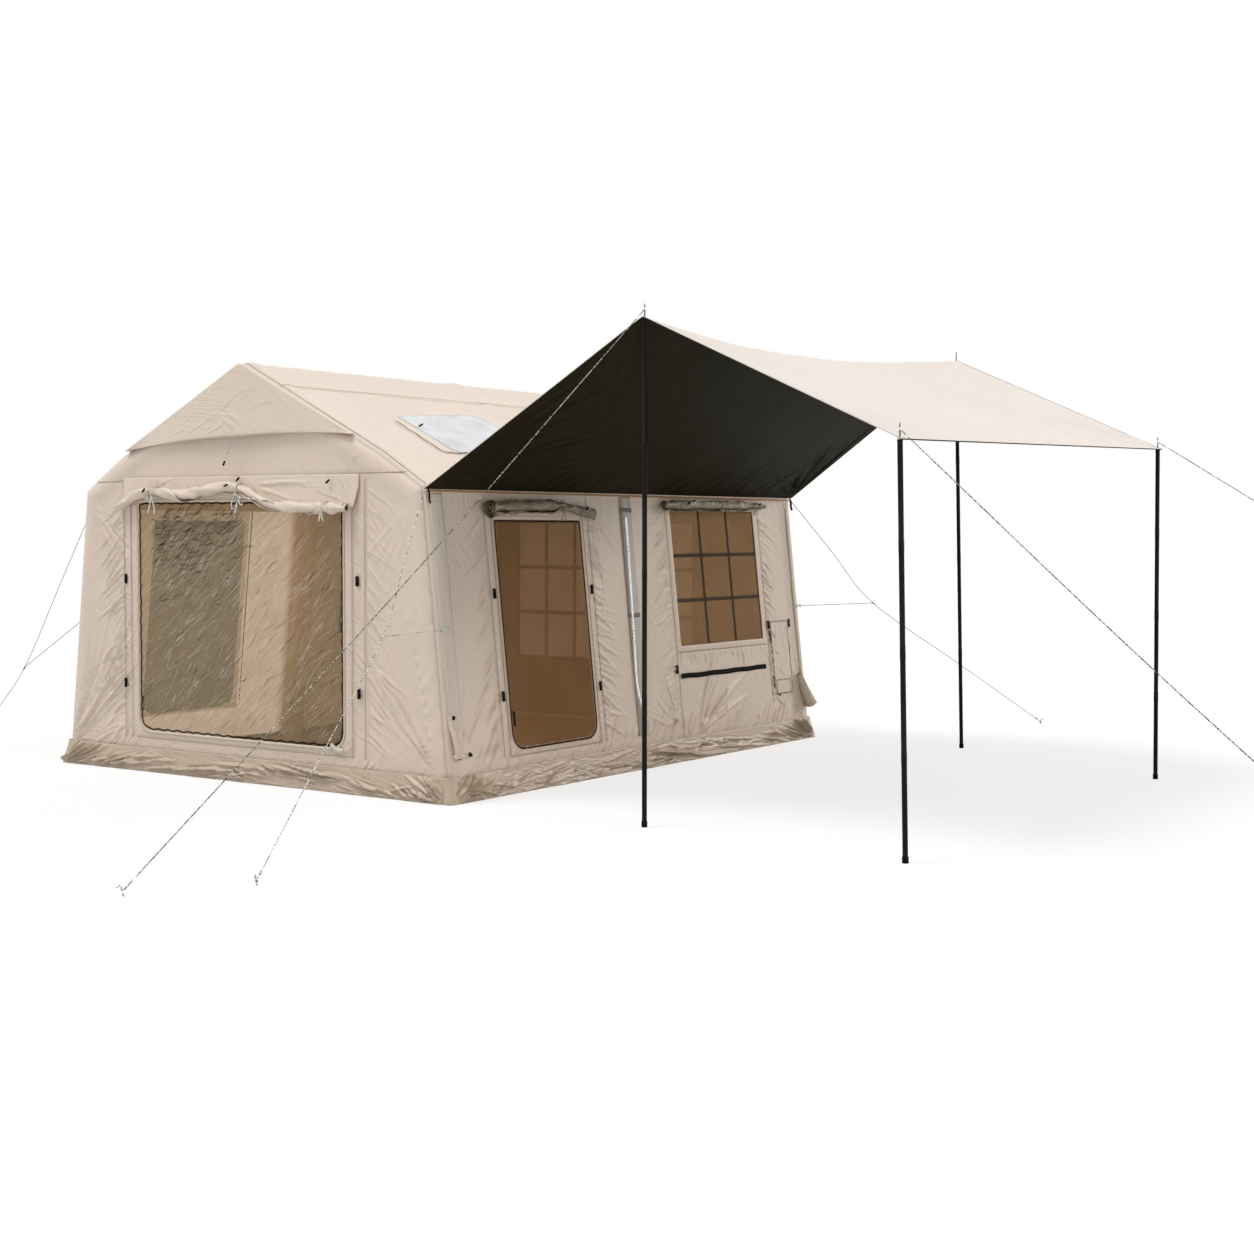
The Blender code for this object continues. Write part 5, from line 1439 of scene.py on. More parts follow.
def makeAwning():
    width = awning["inner"] + awning["outer"]
    bm = flatCloth(gridLines([0, awning["inner"], width], 0.018), gridLines([0, awning["along"]], 0.02))
    item = layCloth("awningSheet", bm, awningPlace, awningRelief, [awningTop, awningUnder],
                    replaced=("awning",), thickness=0.0022, inner=1)
    along, inset = awning["along"], 0.007
    edges = [[(inset, 0.0), (inset, along)], [(width - inset, 0.0), (width - inset, along)],
             [(0.0, along - inset), (width, along - inset)]]
    nearEdge = [[(0.0, 0.006), (width, 0.006)]]
    hems = [ribbons(label, awningPlace, lines, wide, lambda u, v: awningRelief(u, v) + 0.0004, finish,
                    thickness=0.0012, step=0.03)
            for label, lines, wide, finish in (("awningHems", edges, 0.014, awningTop),
                                               ("awningNearHem", nearEdge, 0.012, whiteTape))]
    rim = [awningPlace(u, v, 0 * u - 0.001) for u, v in (
        (np.full(60, width - 0.001), np.linspace(0, awning["along"], 60)),
        (np.linspace(0, width, 60), np.full(60, awning["along"] - 0.001)))]
    border = curvePiece("awningBorder", rim, 0.0032, awningUnder, resolution=1,
                        asMesh=True)
    grommets = []
    for name, pole in poles.items():
        top = Vector((*pole["top"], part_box(name)[1].z - spikeHeight + 0.0042))
        grommets.append(spun([(0.0072, -0.001), (0.011, -0.001), (0.0125, 0.0004), (0.011, 0.0016),
                              (0.0072, 0.0012), (0.0072, -0.001)], 20, top))
    addPiece("awningGrommets", joinMeshes("awningGrommets", grommets), [spikeSteel])


def makePole(name, pole):
    # four sections with their joints, a rubber foot and the spike that goes through the awning
    shoulder, radius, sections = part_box(name)[1].z - spikeHeight, 0.0125, 4
    profile = [(0.0, 0.0), (0.0145, 0.0), (0.015, 0.003), (0.015, 0.026), (0.0138, 0.030), (radius, 0.031)]
    for index in range(1, sections):
        height = shoulder * index / sections
        profile += [(radius, height - 0.03), (radius + 0.0007, height - 0.029),
                    (radius + 0.0007, height + 0.029), (radius, height + 0.03)]
    profile += [(radius, shoulder - 0.012), (radius + 0.0006, shoulder - 0.011),
                (radius + 0.0006, shoulder - 0.001), (radius - 0.001, shoulder), (0.004, shoulder),
                (0.004, shoulder + 0.063), (0.0012, shoulder + spikeHeight), (0.0, shoulder + spikeHeight)]
    mesh = spun(profile, 24)
    foot, top = Vector((*pole["foot"], 0)), Vector((*pole["top"], shoulder))
    leanMatrix = Matrix.Identity(4)
    leanMatrix[0][2], leanMatrix[1][2] = (top.x - foot.x) / shoulder, (top.y - foot.y) / shoulder
    mesh.transform(Matrix.Translation(foot) @ leanMatrix)
    addPiece(name + "Tube", mesh, [poleBlack, rubberBlack, spikeSteel],
             replaced=(name,))
    for face in mesh.polygons:
        height = face.center.z
        face.material_index = 1 if height < 0.031 else 2 if height > shoulder + 0.001 else 0


makeAwning()
for name, pole in poles.items():
    makePole(name, pole)
print("awning and poles made")


# doors and windows
def meshPanel(name, place, a, b, corner, lift, body, replaced, seed, net):
    panel = {"a": a, "b": b, "corner": corner, "top": min(corner, 0.02)}
    shape = [lambda u, v: -outside(panel)(u, v)] if corner else []
    bm = flatCloth(gridLines(a, 0.02), gridLines(b, 0.02), shape)
    area = flatArea(bm)

    def relief(u, v):
        return lift + 0.0012 * latticeNoise(u, v, 0.12, seed) * smooth(-outside(panel)(u, v) / 0.05)

    item = layCloth(name, bm, place, relief, [net], body, replaced, 0.0008)


def boxLine(a, b, corner, top=None, steps=6):
    # a line round a rounded rectangle, from its lower left corner
    top = corner if top is None else top
    arcs = {"l": (a[0], b[0], 180), "b": (a[1], b[0], 270), "r": (a[1], b[1], 0), "t": (a[0], b[1], 90)}
    points = []
    for key in "lbrt":
        u, v, start = arcs[key]
        bend = top if key in "rt" else corner
        cu = u + math.copysign(bend, (a[0] + a[1]) / 2 - u)
        cv = v + math.copysign(bend, (b[0] + b[1]) / 2 - v)
        for step in range(steps + 1):
            angle = math.radians(start + 90 * step / steps)
            points.append((cu + bend * math.cos(angle), cv + bend * math.sin(angle)))
    return points + [points[0]]


def grown(opening, sides, up, low=None):
    # an opening's spans, made larger at its sides, below and above
    low = up if low is None else low
    (left, right), (bottom, top) = opening["a"], opening["b"]
    return (left - sides, right + sides), (bottom - low, top + up)


def makeSideDoor(name, place, relief, net, seed):
    door, body = openings["sideDoor"], name + "_door"
    a, b = grown(door, 0.018, 0.006, 0.018)
    meshPanel(name + "DoorNet", place, a, b, 0.1, 0.0022, body, (body,), seed, net)
    edge = boxLine((a[0] + 0.007, a[1] - 0.007), (b[0] + 0.007, b[1] - 0.007), 0.095, 0.02)
    ribbons(name + "DoorZip", place, [edge], 0.008, 0.0026, zipBlack, body)
    ribbons(name + "DoorPiping", place, [boxLine(*grown(door, 0.022, 0.022), 0.11, 0.02)], 0.007,
            lambda y, z: np.maximum(relief(y, z), 0.0012) + 0.0004, canvas, thickness=0.0010)


def makeGridWindow(name, place, opening, panes, lift, replaced, seed, net):
    a, b = grown(opening, 0.018, 0.018)
    meshPanel(name + "Net", place, a, b, 0.0, lift, "tent", replaced, seed, net)
    (left, right), (low, high) = opening["a"], opening["b"]
    bars = []
    for index in range(1, panes[0]):
        u = left + (right - left) * index / panes[0]
        bars.append([(u, b[0]), (u, b[1])])
    for index in range(1, panes[1]):
        v = low + (high - low) * index / panes[1]
        bars.append([(a[0], v), (a[1], v)])
    edge = boxLine((a[0] + 0.014, a[1] - 0.014), (b[0] + 0.014, b[1] - 0.014), 0.012)
    ribbons(name + "Webbing", place, bars, 0.021, lift + 0.002, webbingDark)
    ribbons(name + "Binding", place, [edge], 0.012, lift + 0.0008, webbingDark,
            thickness=0.001)
    ribbons(name + "InnerWebbing", place, bars + [edge], 0.028, lift - 0.0032, blackTape)


# counts of pale strips, painted highlights, and dark strips, painted shade, on the clear door
crinkles = {"pale": 760, "dark": 330}


def onCloth(relief, extra):
    return lambda u, v: np.maximum(relief(u, v), 0.001) + extra


def wavy(points, size, pitch, seed):
    # the same line, drawn with a slight wave
    route = np.array(points, float)
    run = walked(route)
    along = np.linspace(0, run[-1], max(2, round(run[-1] / 0.012)))
    u, v = pathAt(along, run, route)
    du, dv = np.gradient(u), np.gradient(v)
    away = np.hypot(du, dv)
    wave = np.sin(along / pitch * 2 * math.pi) + 0.8 * latticeNoise(along, along * 0, pitch * 0.6, seed)
    shift = size * wave
    return list(zip(u - dv / away * shift, v + du / away * shift))


def streakCloth(runs, allowed):
    # slim tapering strips on a flat cloth: place, direction, length, half width and bow
    bm = bmesh.new()
    for u, v, turn, size, half, bow in runs:
        cu, cv = math.cos(turn), math.sin(turn)
        rails = []
        for share in (0, 0.25, 0.5, 0.75, 1):
            shift = size * bow * math.sin(math.pi * share)
            wide = half * math.sin(math.pi * (0.08 + 0.84 * share))
            rails.append([(u + cu * size * share - cv * (shift + edge),
                           v + cv * size * share + cu * (shift + edge)) for edge in (wide, -wide)])
        spots = np.array(rails).reshape(-1, 2)
        if not allowed(spots[:, 0], spots[:, 1]).all():
            continue
        verts = [[bm.verts.new((*spot, 0)) for spot in pair] for pair in rails]
        for one, two in zip(verts, verts[1:]):
            bm.faces.new((one[0], one[1], two[1], two[0]))
    return bm


def makeFrontDoor():
    door = openings["frontDoor"]
    a, b = grown(door, 0.018, 0.018)
    panel = {"a": a, "b": b, "corner": 0.1}
    folds = []
    draw = np.random.default_rng(240)
    for _ in range(120):
        u, v = draw.uniform(a[0], a[1]), draw.uniform(b[0], b[1])
        turn = math.radians(draw.choice([32, 24, -38, 60]) + draw.uniform(-12, 12))
        size = draw.uniform(0.1, 0.45)
        folds.append((u, v, u + size * math.cos(turn), v + size * math.sin(turn), draw.uniform(0.006, 0.014),
                      draw.uniform(0.001, 0.0028), draw.uniform(-0.05, 0.05) * size))
    bm = flatCloth(gridLines(a, 0.012), gridLines(b, 0.012), [lambda u, v: -outside(panel)(u, v)])
    area = flatArea(bm)

    def sheetRelief(u, v):
        return -0.0046 + (foldField(folds, u, v) - 0.002) * smooth(-outside(panel)(u, v) / 0.05)

    item = layCloth("frontDoorSheet", bm, frontWall, sheetRelief, [clearVinyl], "front_door",
                    ("front_door",), 0.0008)
    (left, right), (low, high) = door["a"], door["b"]
    ring = boxLine((left + 0.008, right - 0.008), (low + 0.009, high - 0.008), 0.085, 0.02)
    ribbons("frontDoorZip", frontWall, [wavy(ring, 0.0032, 0.085, 241)], 0.009, -0.0030, zipBlack,
            "front_door", 0.0012, step=0.008)
    ribbons("frontDoorPiping", frontWall, [boxLine(*grown(door, 0.010, 0.010), 0.10, 0.02)], 0.012,
            onCloth(frontRelief, 0.001), canvasTape, thickness=0.0024)
    # pale strips are painted highlights on the door's creases, dark strips painted shade
    glints, shades = [], []
    for _ in range(crinkles["pale"]):
        u, v = draw.uniform(a[0] + 0.03, a[1] - 0.1), draw.uniform(b[0] + 0.02, b[1] - 0.06)
        turn = math.radians(draw.choice([30, 38, 46, 58]) + draw.uniform(-7, 7))
        glints.append((u, v, turn, draw.uniform(0.03, 0.08) * (6.0 if draw.uniform() < 0.28 else 1.6),
                       draw.uniform(0.0004, 0.0011), draw.uniform(-0.08, 0.08)))
    for _ in range(crinkles["dark"]):
        u = a[0] + 0.10 + 0.8 * draw.beta(1.2, 1.8)
        v = b[1] - 0.08 - 0.60 * draw.beta(1.0, 2.4)
        shades.append((u, v, math.radians(draw.choice([8, 24, 36]) + draw.uniform(-12, 12)),
                       draw.uniform(0.04, 0.13), draw.uniform(0.0016, 0.0034), draw.uniform(-0.3, 0.3)))
    for _ in range(crinkles["dark"] // 3):
        u, v = draw.uniform(a[0] + 0.03, a[1] - 0.1), draw.uniform(b[0] + 0.02, b[1] - 0.08)
        shades.append((u, v, math.radians(draw.choice([34, 44]) + draw.uniform(-10, 10)),
                       draw.uniform(0.04, 0.16), draw.uniform(0.0012, 0.0026), draw.uniform(-0.15, 0.15)))
    for label, runs, finish in (("frontDoorGlints", glints, glintPale),
                                ("frontDoorShades", shades, paintedCreaseShade)):
        bm = streakCloth(runs, lambda u, v: -outside(panel)(u, v) > 0.03)
        layCloth(label, bm, frontWall, lambda u, v: sheetRelief(u, v) + 0.0012, [finish], "front_door",
                 thickness=0)


makeSideDoor("right", rightWall, rightRelief, insectNet, 231)
makeSideDoor("left", leftWall, leftRelief, farNet, 229)
side, rear = openings["sideWindow"], openings["rearWindow"]
makeGridWindow("rightWindow", rightWall, side, (3, 3), -0.0060, ("right_window",), 250, windowNet)
makeGridWindow("leftWindow", leftWall, side, (3, 3), -0.0060, ("left_window",), 251, rearNet)
makeGridWindow("rearWindow", rearWall, rear, (6, 3), -0.0060, ("rear_window",), 252, rearNet)
makeFrontDoor()
print("doors and windows made")


# rolled covers: points along the wall, heights and radii are the CAD's
rolls = {
    "front_door_cover": {
        "knots": [(-1.031, 1.589, 0.020), (-0.933, 1.624, 0.027), (-0.775, 1.677, 0.029),
                  (-0.586, 1.675, 0.030), (-0.417, 1.662, 0.030), (-0.202, 1.689, 0.028),
                  (-0.056, 1.705, 0.027), (0.072, 1.681, 0.027), (0.182, 1.636, 0.028),
                  (0.306, 1.596, 0.029), (0.490, 1.584, 0.030), (0.862, 1.583, 0.029)],
        "ties": (-0.71, -0.67, 0.03, 0.70), "tails": (4, 9, 3, 5), "toggles": (-0.73, -0.04), "seed": 260,
        "twist": 5.0, "helix": 0.10, "full": 1.32, "hollow": 0.42, "cloth": coverCanvas, "slot": "canvas",
        "tape": whiteTape},
    "rear_window_cover": {
        "knots": [(-1.16, 1.560, 0.026), (-0.70, 1.575, 0.031), (-0.25, 1.568, 0.032), (0.25, 1.574, 0.031),
                  (0.66, 1.562, 0.026)],
        "ties": (-0.95, -0.25, 0.45), "tails": (6, 6, 6), "cloth": coverCanvas, "seed": 262, "twist": 1.0,
        "slot": "canvas", "tape": whiteTape, "toggles": (-0.9, 0.4)},
    "door_cover": {
        "knots": [(-1.504, 1.576, 0.050), (-1.280, 1.590, 0.045), (-1.066, 1.597, 0.040),
                  (-0.828, 1.598, 0.037), (-0.674, 1.582, 0.033), (-0.498, 1.560, 0.030)],
        "ties": (-1.30, -0.85), "tails": (2, 6), "cloth": oliveCloth, "seed": 264, "twist": 2.6,
        "slot": "olive_lining", "tape": oliveCloth, "toggles": (-0.62,), "full": 1.12, "cone": 0.035},
    "window_cover": {
        "knots": [(0.283, 1.622, 0.029), (0.735, 1.624, 0.031), (1.274, 1.626, 0.029), (1.596, 1.628, 0.013)],
        "ties": (0.45, 0.95, 1.38), "tails": (2, 2, 5), "cloth": oliveCloth, "seed": 266, "twist": 1.0,
        "slot": "olive_lining", "tape": oliveCloth, "toggles": (0.52, 1.46), "full": 1.14, "cone": 0.02},
}
rollShape = {"turns": 3, "core": 0.22, "wrinkle": 0.26, "sides": 30}
toggleProfile = [(0, -0.016), (0.004, -0.0155), (0.0055, -0.012), (0.0055, 0.012), (0.004, 0.0155),
                 (0, 0.016)]


def rollMiddle(surface, samples):
    # the roll's middle line, lying against its wall, and its ways outwards and up
    u, v, radius = samples.T
    gap = 0.0009
    if surface in ("front", "rear"):
        end = -1 if surface == "front" else 1
        middle = np.stack([u, end * (halfLength + gap + radius), v], 1)
        return middle, Vector((0, end, 0)), Vector((0, 0, 1))
    out = radius + gap
    side, cosine, sine = 1 if surface == "right" else -1, math.cos(lean), math.sin(lean)
    middle = np.stack([side * (wallX(v) + out * cosine), u, v + out * sine], 1)
    return middle, Vector((side * cosine, 0, sine)), Vector((-side * sine, 0, cosine))


def makeBow(name):
    # white cord tied in a bow round the front roll, and its loose end
    shapes = [[(0.03, 1.66), (-0.005, 1.62), (0.0, 1.575), (0.028, 1.60), (0.035, 1.645), (0.05, 1.61),
               (0.075, 1.60), (0.06, 1.64), (0.032, 1.655)],
              [(0.03, 1.66), (0.035, 1.60), (0.015, 1.545)],
              [(0.03, 1.652), (0.12, 1.640), (0.22, 1.628), (0.33, 1.618)]]
    routes = []
    for shape in shapes:
        depth = 0.062 + 0.004 * np.sin(np.arange(len(shape)))
        u, v = np.array(shape).T
        routes.append(smoothRoute(frontWall(u, v, depth), 28))
    return curvePiece(name + "Bow", routes, 0.0032, guyPale, resolution=2, asMesh=True)


def makeRoll(name, surface, facts, replaced):
    samples = smoothRoute(facts["knots"], 200)
    samples[:, 2] *= facts.get("full", 1)
    middle, out, up = rollMiddle(surface, samples)
    out, up = np.array(out), np.array(up)
    length = routeLength(middle)
    turns, seed = rollShape["turns"], facts["seed"]
    mean = float(samples[:, 2].mean())
    spiral = turns * math.pi * mean * (1 + rollShape["core"])
    run = np.linspace(0, length, len(samples))
    lieStart = Vector(middle[0] - middle[4]).normalized()

    def place(u, v, lift):
        centre = np.stack(pathAt(u, run, middle), 1)
        along, _, radius = pathAt(u, run, samples)
        share = v / spiral
        angle = 2 * math.pi * turns * share + facts["twist"] * latticeNoise(u, u * 0, 0.35, seed) - 1.2
        swell = rollShape["wrinkle"] * latticeNoise(u, np.cos(angle) * 0.04 + share * 0.1, 0.05, seed + 1)
        swell = swell - 0.08 + 0.09 * latticeNoise(u, np.sin(angle) * 0.05, 0.12, seed + 2)
        helix = facts.get("helix", 0.05) * (np.sin(3 * angle + 24 * u) - 0.4)
        swell += helix * (0.4 + 0.6 * (u < 0.55 * length))
        for tie in facts["ties"]:
            swell -= 0.16 * np.exp(-((along - tie) / 0.035) ** 2)
        core = rollShape["core"] + facts.get("hollow", 0) * smooth((u - length + 0.07) / 0.06)
        wide = radius * (core + (1 - core) * share) * (1 + swell) + lift
        wide = np.minimum(wide, radius * 1.08)
        near = facts.get("cone", 0) * (1 - share) * smooth((0.14 - u) / 0.12)
        tail = smooth((share - 0.94) / 0.06)
        offset = out * (wide * np.cos(angle))[:, None] + up * (wide * np.sin(angle) - tail * 0.008)[:, None]
        offset += np.array(lieStart) * near[:, None]
        return centre + offset

    short = replaced.replace("_", "")
    bm = flatCloth(gridLines([0, length], 0.011), gridLines([0, spiral], spiral / turns / rollShape["sides"]))
    item = layCloth(short + "Roll", bm, place, 0.0, [facts["cloth"]], "tent", (replaced,),
                    0.0012)
    if "hollow" in facts:
        spot, ahead = middle[-3], Vector(middle[-1] - middle[-5])
        # a dark disc in the roll's open end: painted shade in its hollow
        dark = spun([(0.0, 0.0), (samples[-1, 2] * 0.66, 0.0)], 24, spot, ahead)
        addPiece(name + "RollHollowShade", dark, [webbingDark])
        makeBow(name)
    dressRoll(short, facts, samples, middle, Vector(out), Vector(up))


def dressRoll(short, facts, samples, middle, out, up):
    # tapes tied round a roll with their hanging ends, and toggles on it
    def nearest(spot):
        index = int(np.argmin(np.abs(samples[:, 0] - spot)))
        ahead = Vector(middle[min(index + 3, 199)]) - Vector(middle[max(index - 3, 0)])
        return Vector(middle[index]), samples[index, 2], ahead

    loops, toggles = [], []
    for tie, tail in zip(facts["ties"], facts["tails"]):
        centre, radius, side = nearest(tie)
        radius *= 0.93
        turns = [2 * math.pi * step / 20 for step in range(21)]
        loops.append(([centre + out * (radius * math.cos(turn)) + up * (radius * math.sin(turn))
                       for turn in turns], side))
        for swing in (-0.35, 0.3):
            start = centre + out * (radius * 0.9) - up * (radius * 0.5)
            loops.append(([start + Vector((0, 0, -0.014 * step)) + side.normalized() * (swing * 0.012 * step)
                           + out * (0.002 * math.sin(step)) for step in range(tail)], side))
    straps(short + "Ties", loops, 0.011, facts["tape"])
    for index, spot in enumerate(facts["toggles"]):
        centre, radius, ahead = nearest(spot)
        centre = centre + out * (radius + 0.005) + up * 0.008
        toggles.append(spun(toggleProfile, 14, centre, ahead.normalized() + up * (0.9 - 0.5 * (index % 2))))
    addToggles(short + "Toggles", toggles)


makeRoll("frontDoor", "front", rolls["front_door_cover"], "front_door_cover")
makeRoll("rearWindow", "rear", rolls["rear_window_cover"], "rear_window_cover")
for surface in ("right", "left"):
    makeRoll(surface + "Door", surface, rolls["door_cover"], surface + "_door_cover")
    makeRoll(surface + "Window", surface, rolls["window_cover"], surface + "_window_cover")
print("rolled covers made")


# seams, tapes, tabs and other small fittings on the walls
tabSpots = {
    "front": [(-0.98, 1.16), (-0.99, 0.53), (0.90, 1.18), (0.91, 0.56)],
    "rear": [(-1.12, 1.12), (0.62, 1.12)],
    "side": [(-1.475, 1.11), (-0.54, 1.11), (-1.475, 0.54), (-0.54, 0.535), (0.313, 0.58),
             (1.515, 0.815), (1.80, 0.815)],
}


def dress(name, place, relief, key):
    ribbons(name + "Seams", place, seamLines[key], 0.005, onCloth(relief, 0.0006), seamThreadAndShade,
            thickness=0.0008, step=0.02)
    marks = [[(u, v - 0.028), (u, v + 0.028)] for u, v in tabSpots[key]]
    ribbons(name + "Tabs", place, marks, 0.021, onCloth(relief, 0.001), blackTape,
            thickness=0.005, step=0.02)


def dressSide(name, side, place, relief):
    ribbons(name + "NearSleeve", place, [[(-1.908, 1.66), (-1.905, 0.38)]], 0.10, onCloth(relief, 0.0012),
            cornerSleeve, columns=6)
    ribbons(name + "FarSleeve", place, [[(1.90, 1.66), (1.905, 0.44)]], 0.045, onCloth(relief, 0.0012),
            canvasTape)
    ribbons(name + "MiddleSleeve", place, [[(-0.105, 1.665), (-0.118, 0.20)]], 0.11, onCloth(relief, 0.0008),
            greySleeve, thickness=0.001)
    bars = [[(-0.165, 1.585), (-0.045, 1.585)], [(-0.172, 0.94), (-0.052, 0.94)]]
    ribbons(name + "SleeveBars", place, bars, 0.026, onCloth(relief, 0.002), greyBar, thickness=0.0012)
    cableLine = wavy([(0.365, 0.533), (1.434, 0.533)], 0.0015, 0.3, 270 + side)
    cable = ribbons(name + "CableZip", place, [cableLine], 0.031, onCloth(relief, 0.0012), zipBlack,
                    thickness=0.0016)
    if side > 0:
        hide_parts("cable_port_zip")
        straps(name + "EaveStraps", [eaveStrap(side, end) for end in (-1, 1)], 0.02, blackTape,
               thickness=0.002)


def eaveStrap(side, end):
    # a black tape that holds the guy and the awning at the corner of the eave
    points = []
    for height, out in ((1.688, 0.004), (1.674, 0.010), (1.655, 0.012), (1.63, 0.010), (1.605, 0.014)):
        points.append((side * (wallX(height) + out), end * (halfLength - 0.035 + 0.2 * out), height))
    return points, (side * 0.3, end, 0)


def anchorRings():
    # a ring on a tape where each lower branch meets the cabin
    rings, tapes = [], []
    for guy in cornerGuys.values():
        side, y, height = guy["side"], guyStarts(guy)[1], guys["branchHeight"]
        lean3 = Vector((side * math.cos(lean), 0, math.sin(lean)))
        centre = Vector((side * wallX(height), y, height)) + lean3 * 0.011
        rings.append(loopRound(centre, (0.2, 1, 0.1), 0.010, steps=18)[:-1])
        inwards = 1 if y < 0 else -1
        tapes.append([(y + inwards * 0.075, height + 0.003), (y - inwards * 0.004, height)])
    curvePiece("anchorRings", rings, 0.0022, pegSteel, asMesh=True, closed=True)
    for side, place, relief, chosen in ((1, rightWall, rightRelief, tapes[:2]),
                                        (-1, leftWall, leftRelief, tapes[2:])):
        ribbons("anchorTapes" + ("Right" if side > 0 else "Left"), place, chosen, 0.024,
                onCloth(relief, 0.002), whiteTape, thickness=0.0016)


def makeHeaderFlap():
    # the cover's upper part, which still hangs open above its roll
    knots = rolls["front_door_cover"]["knots"]
    along, heights = [knot[0] for knot in knots], [knot[1] for knot in knots]
    folds = (fan((-0.76, 1.70), (10, 60), (0.1, 0.3), 5, 0.010, 0.006, 280)
             + fan((-0.05, 1.74), (185, 215), (0.3, 0.7), 4, 0.012, 0.007, 281)
             + fan((0.10, 1.72), (-28, 5), (0.3, 0.75), 5, 0.012, 0.008, 282)
             + fan((0.90, 1.60), (110, 170), (0.1, 0.35), 5, 0.010, 0.006, 283)
             + puckers((-0.95, 1.765), (0.9, 1.765), 0.06, 0.09, -70, 0.010, 0.004, 284))

    def above(u, v):
        return np.minimum(v - np.interp(u, along, heights), (0.915 - u) - 0.25 * np.maximum(0, 1.70 - v))

    def relief(u, v):
        down = np.clip((1.768 - v) / 0.18, 0, 1)
        lift = np.maximum(frontRelief(u, v), 0.001) + 0.0015 + 0.016 * down ** 1.3
        return lift + foldField(folds, u, v) * smooth(down / 0.2)

    bm = flatCloth(gridLines([-0.99, 0.915], 0.011), gridLines([1.575, 1.768], 0.008), [above])
    area = flatArea(bm)
    item = layCloth("headerFlap", bm, frontWall, relief, [coverCanvas, canvas], inner=1)
    marks = addToggles("headerToggles", [
        spun(toggleProfile, 14, frontWall(np.array([u]), np.array([v]), np.array([0.022]))[0], (1, 0, 0.8))
        for u, v in ((0.0, 1.748), (0.70, 1.728))])


def makeHoodTie():
    out = -(halfLength + 0.046)
    points = smoothRoute([(-0.02, out, 1.965), (-0.045, out - 0.003, 1.915), (-0.085, out, 1.84)], 12)
    toggle = spun(toggleProfile, 14, points[-1], Vector(points[-1]) - Vector(points[-3]))
    toggle = addToggles("hoodToggle", [toggle])
    cord = curvePiece("hoodTie", [points], 0.0024, guyPale)


def makeDuctFlap():
    # hinged along its top, with stitched edges and a small pocket at its foot
    folds = (puckers((1.545, 0.83), (1.765, 0.83), 0.045, 0.34, -90, 0.010, 0.004, 290)
             + puckers((1.55, 0.34), (1.76, 0.34), 0.05, 0.12, 84, 0.010, 0.004, 291))

    def relief(y, z):
        return 0.0042 + np.maximum(foldField(folds, y, z) * smooth((0.84 - z) / 0.05), -0.001)

    bm = flatCloth(gridLines([1.532, 1.778], 0.010), gridLines([0.332, 0.838], 0.012))
    item = layCloth("ductFlapCloth", bm, rightWall, relief, [canvas, lining], "duct_flap",
                    ("duct_flap",), 0.002, 1)
    edge = boxLine((1.538, 1.772), (0.338, 0.832), 0.004)
    pocket = [[(1.556, 0.345), (1.556, 0.43), (1.75, 0.43), (1.75, 0.345)]]
    seams = ribbons("ductFlapSeams", rightWall, [edge] + pocket, 0.006, onCloth(relief, 0.0006), greyBar,
                    "duct_flap", 0.0010)
    bits = [[(1.520, 0.78), (1.524, 0.70)], [(1.522, 0.46), (1.526, 0.38)], [(1.526, 0.345), (1.60, 0.322)]]
    ribbons("ductZipEnds", rightWall, bits, 0.009, onCloth(rightRelief, 0.001), zipBlack)


def makeFootFlaps():
    # small cloth sleeves at the foot of the right wall's two corners
    folds = (puckers((-1.96, 0.46), (-1.87, 0.46), 0.018, 0.16, -88, 0.008, 0.007, 292)
             + puckers((-1.96, 0.25), (-1.87, 0.25), 0.02, 0.10, 80, 0.008, 0.006, 293))
    bm = flatCloth(gridLines([-1.965, -1.868], 0.006), gridLines([0.24, 0.475], 0.008))

    def relief(y, z):
        return (np.maximum(rightRelief(y, z), 0.002) + 0.006 + 0.032 * smooth((0.475 - z) / 0.2)
                + np.maximum(foldField(folds, y, z), -0.003))

    item = layCloth("nearFootFlap", bm, rightWall, relief, [canvas, canvas])
    bar = rightWall(np.linspace(-1.968, -1.862, 8), np.linspace(0.246, 0.254, 8), np.full(8, 0.040))
    bar = curvePiece("nearFootBar", [bar], 0.016, canvas, resolution=3, asMesh=True)
    marks = [[(-1.967, 0.245), (-1.945, 0.248)], [(-1.885, 0.252), (-1.862, 0.256)],
             [(-1.972, 0.46), (-1.958, 0.458)]]
    ends = ribbons("nearFootEnds", rightWall, marks, 0.022, onCloth(rightRelief, 0.050), blackTape,
                   thickness=0.003)
    # the far corner's sleeve is a cone, fluted by a wave round it
    start = Vector((wallX(0.46) + 0.022, 1.85, 0.46))
    end = Vector((wallX(0.24) + 0.050, 1.93, 0.235))
    size = (end - start).length
    mesh = spun([(0.012, 0.0), (0.021, 0.02), (0.027, size * 0.4), (0.034, size * 0.75), (0.040, size)], 28,
                start, end - start)
    axis = (end - start).normalized()
    for vert in mesh.vertices:
        out = vert.co - start
        away = out - axis * out.dot(axis)
        angle = math.atan2(away.z, away.y)
        vert.co += away * (0.18 * math.sin(5 * angle + 20 * out.dot(axis)))
    piece = thicken(addPiece("farFootCone", mesh, [canvas, rubberBlack]), 0.0015, -1, 1)


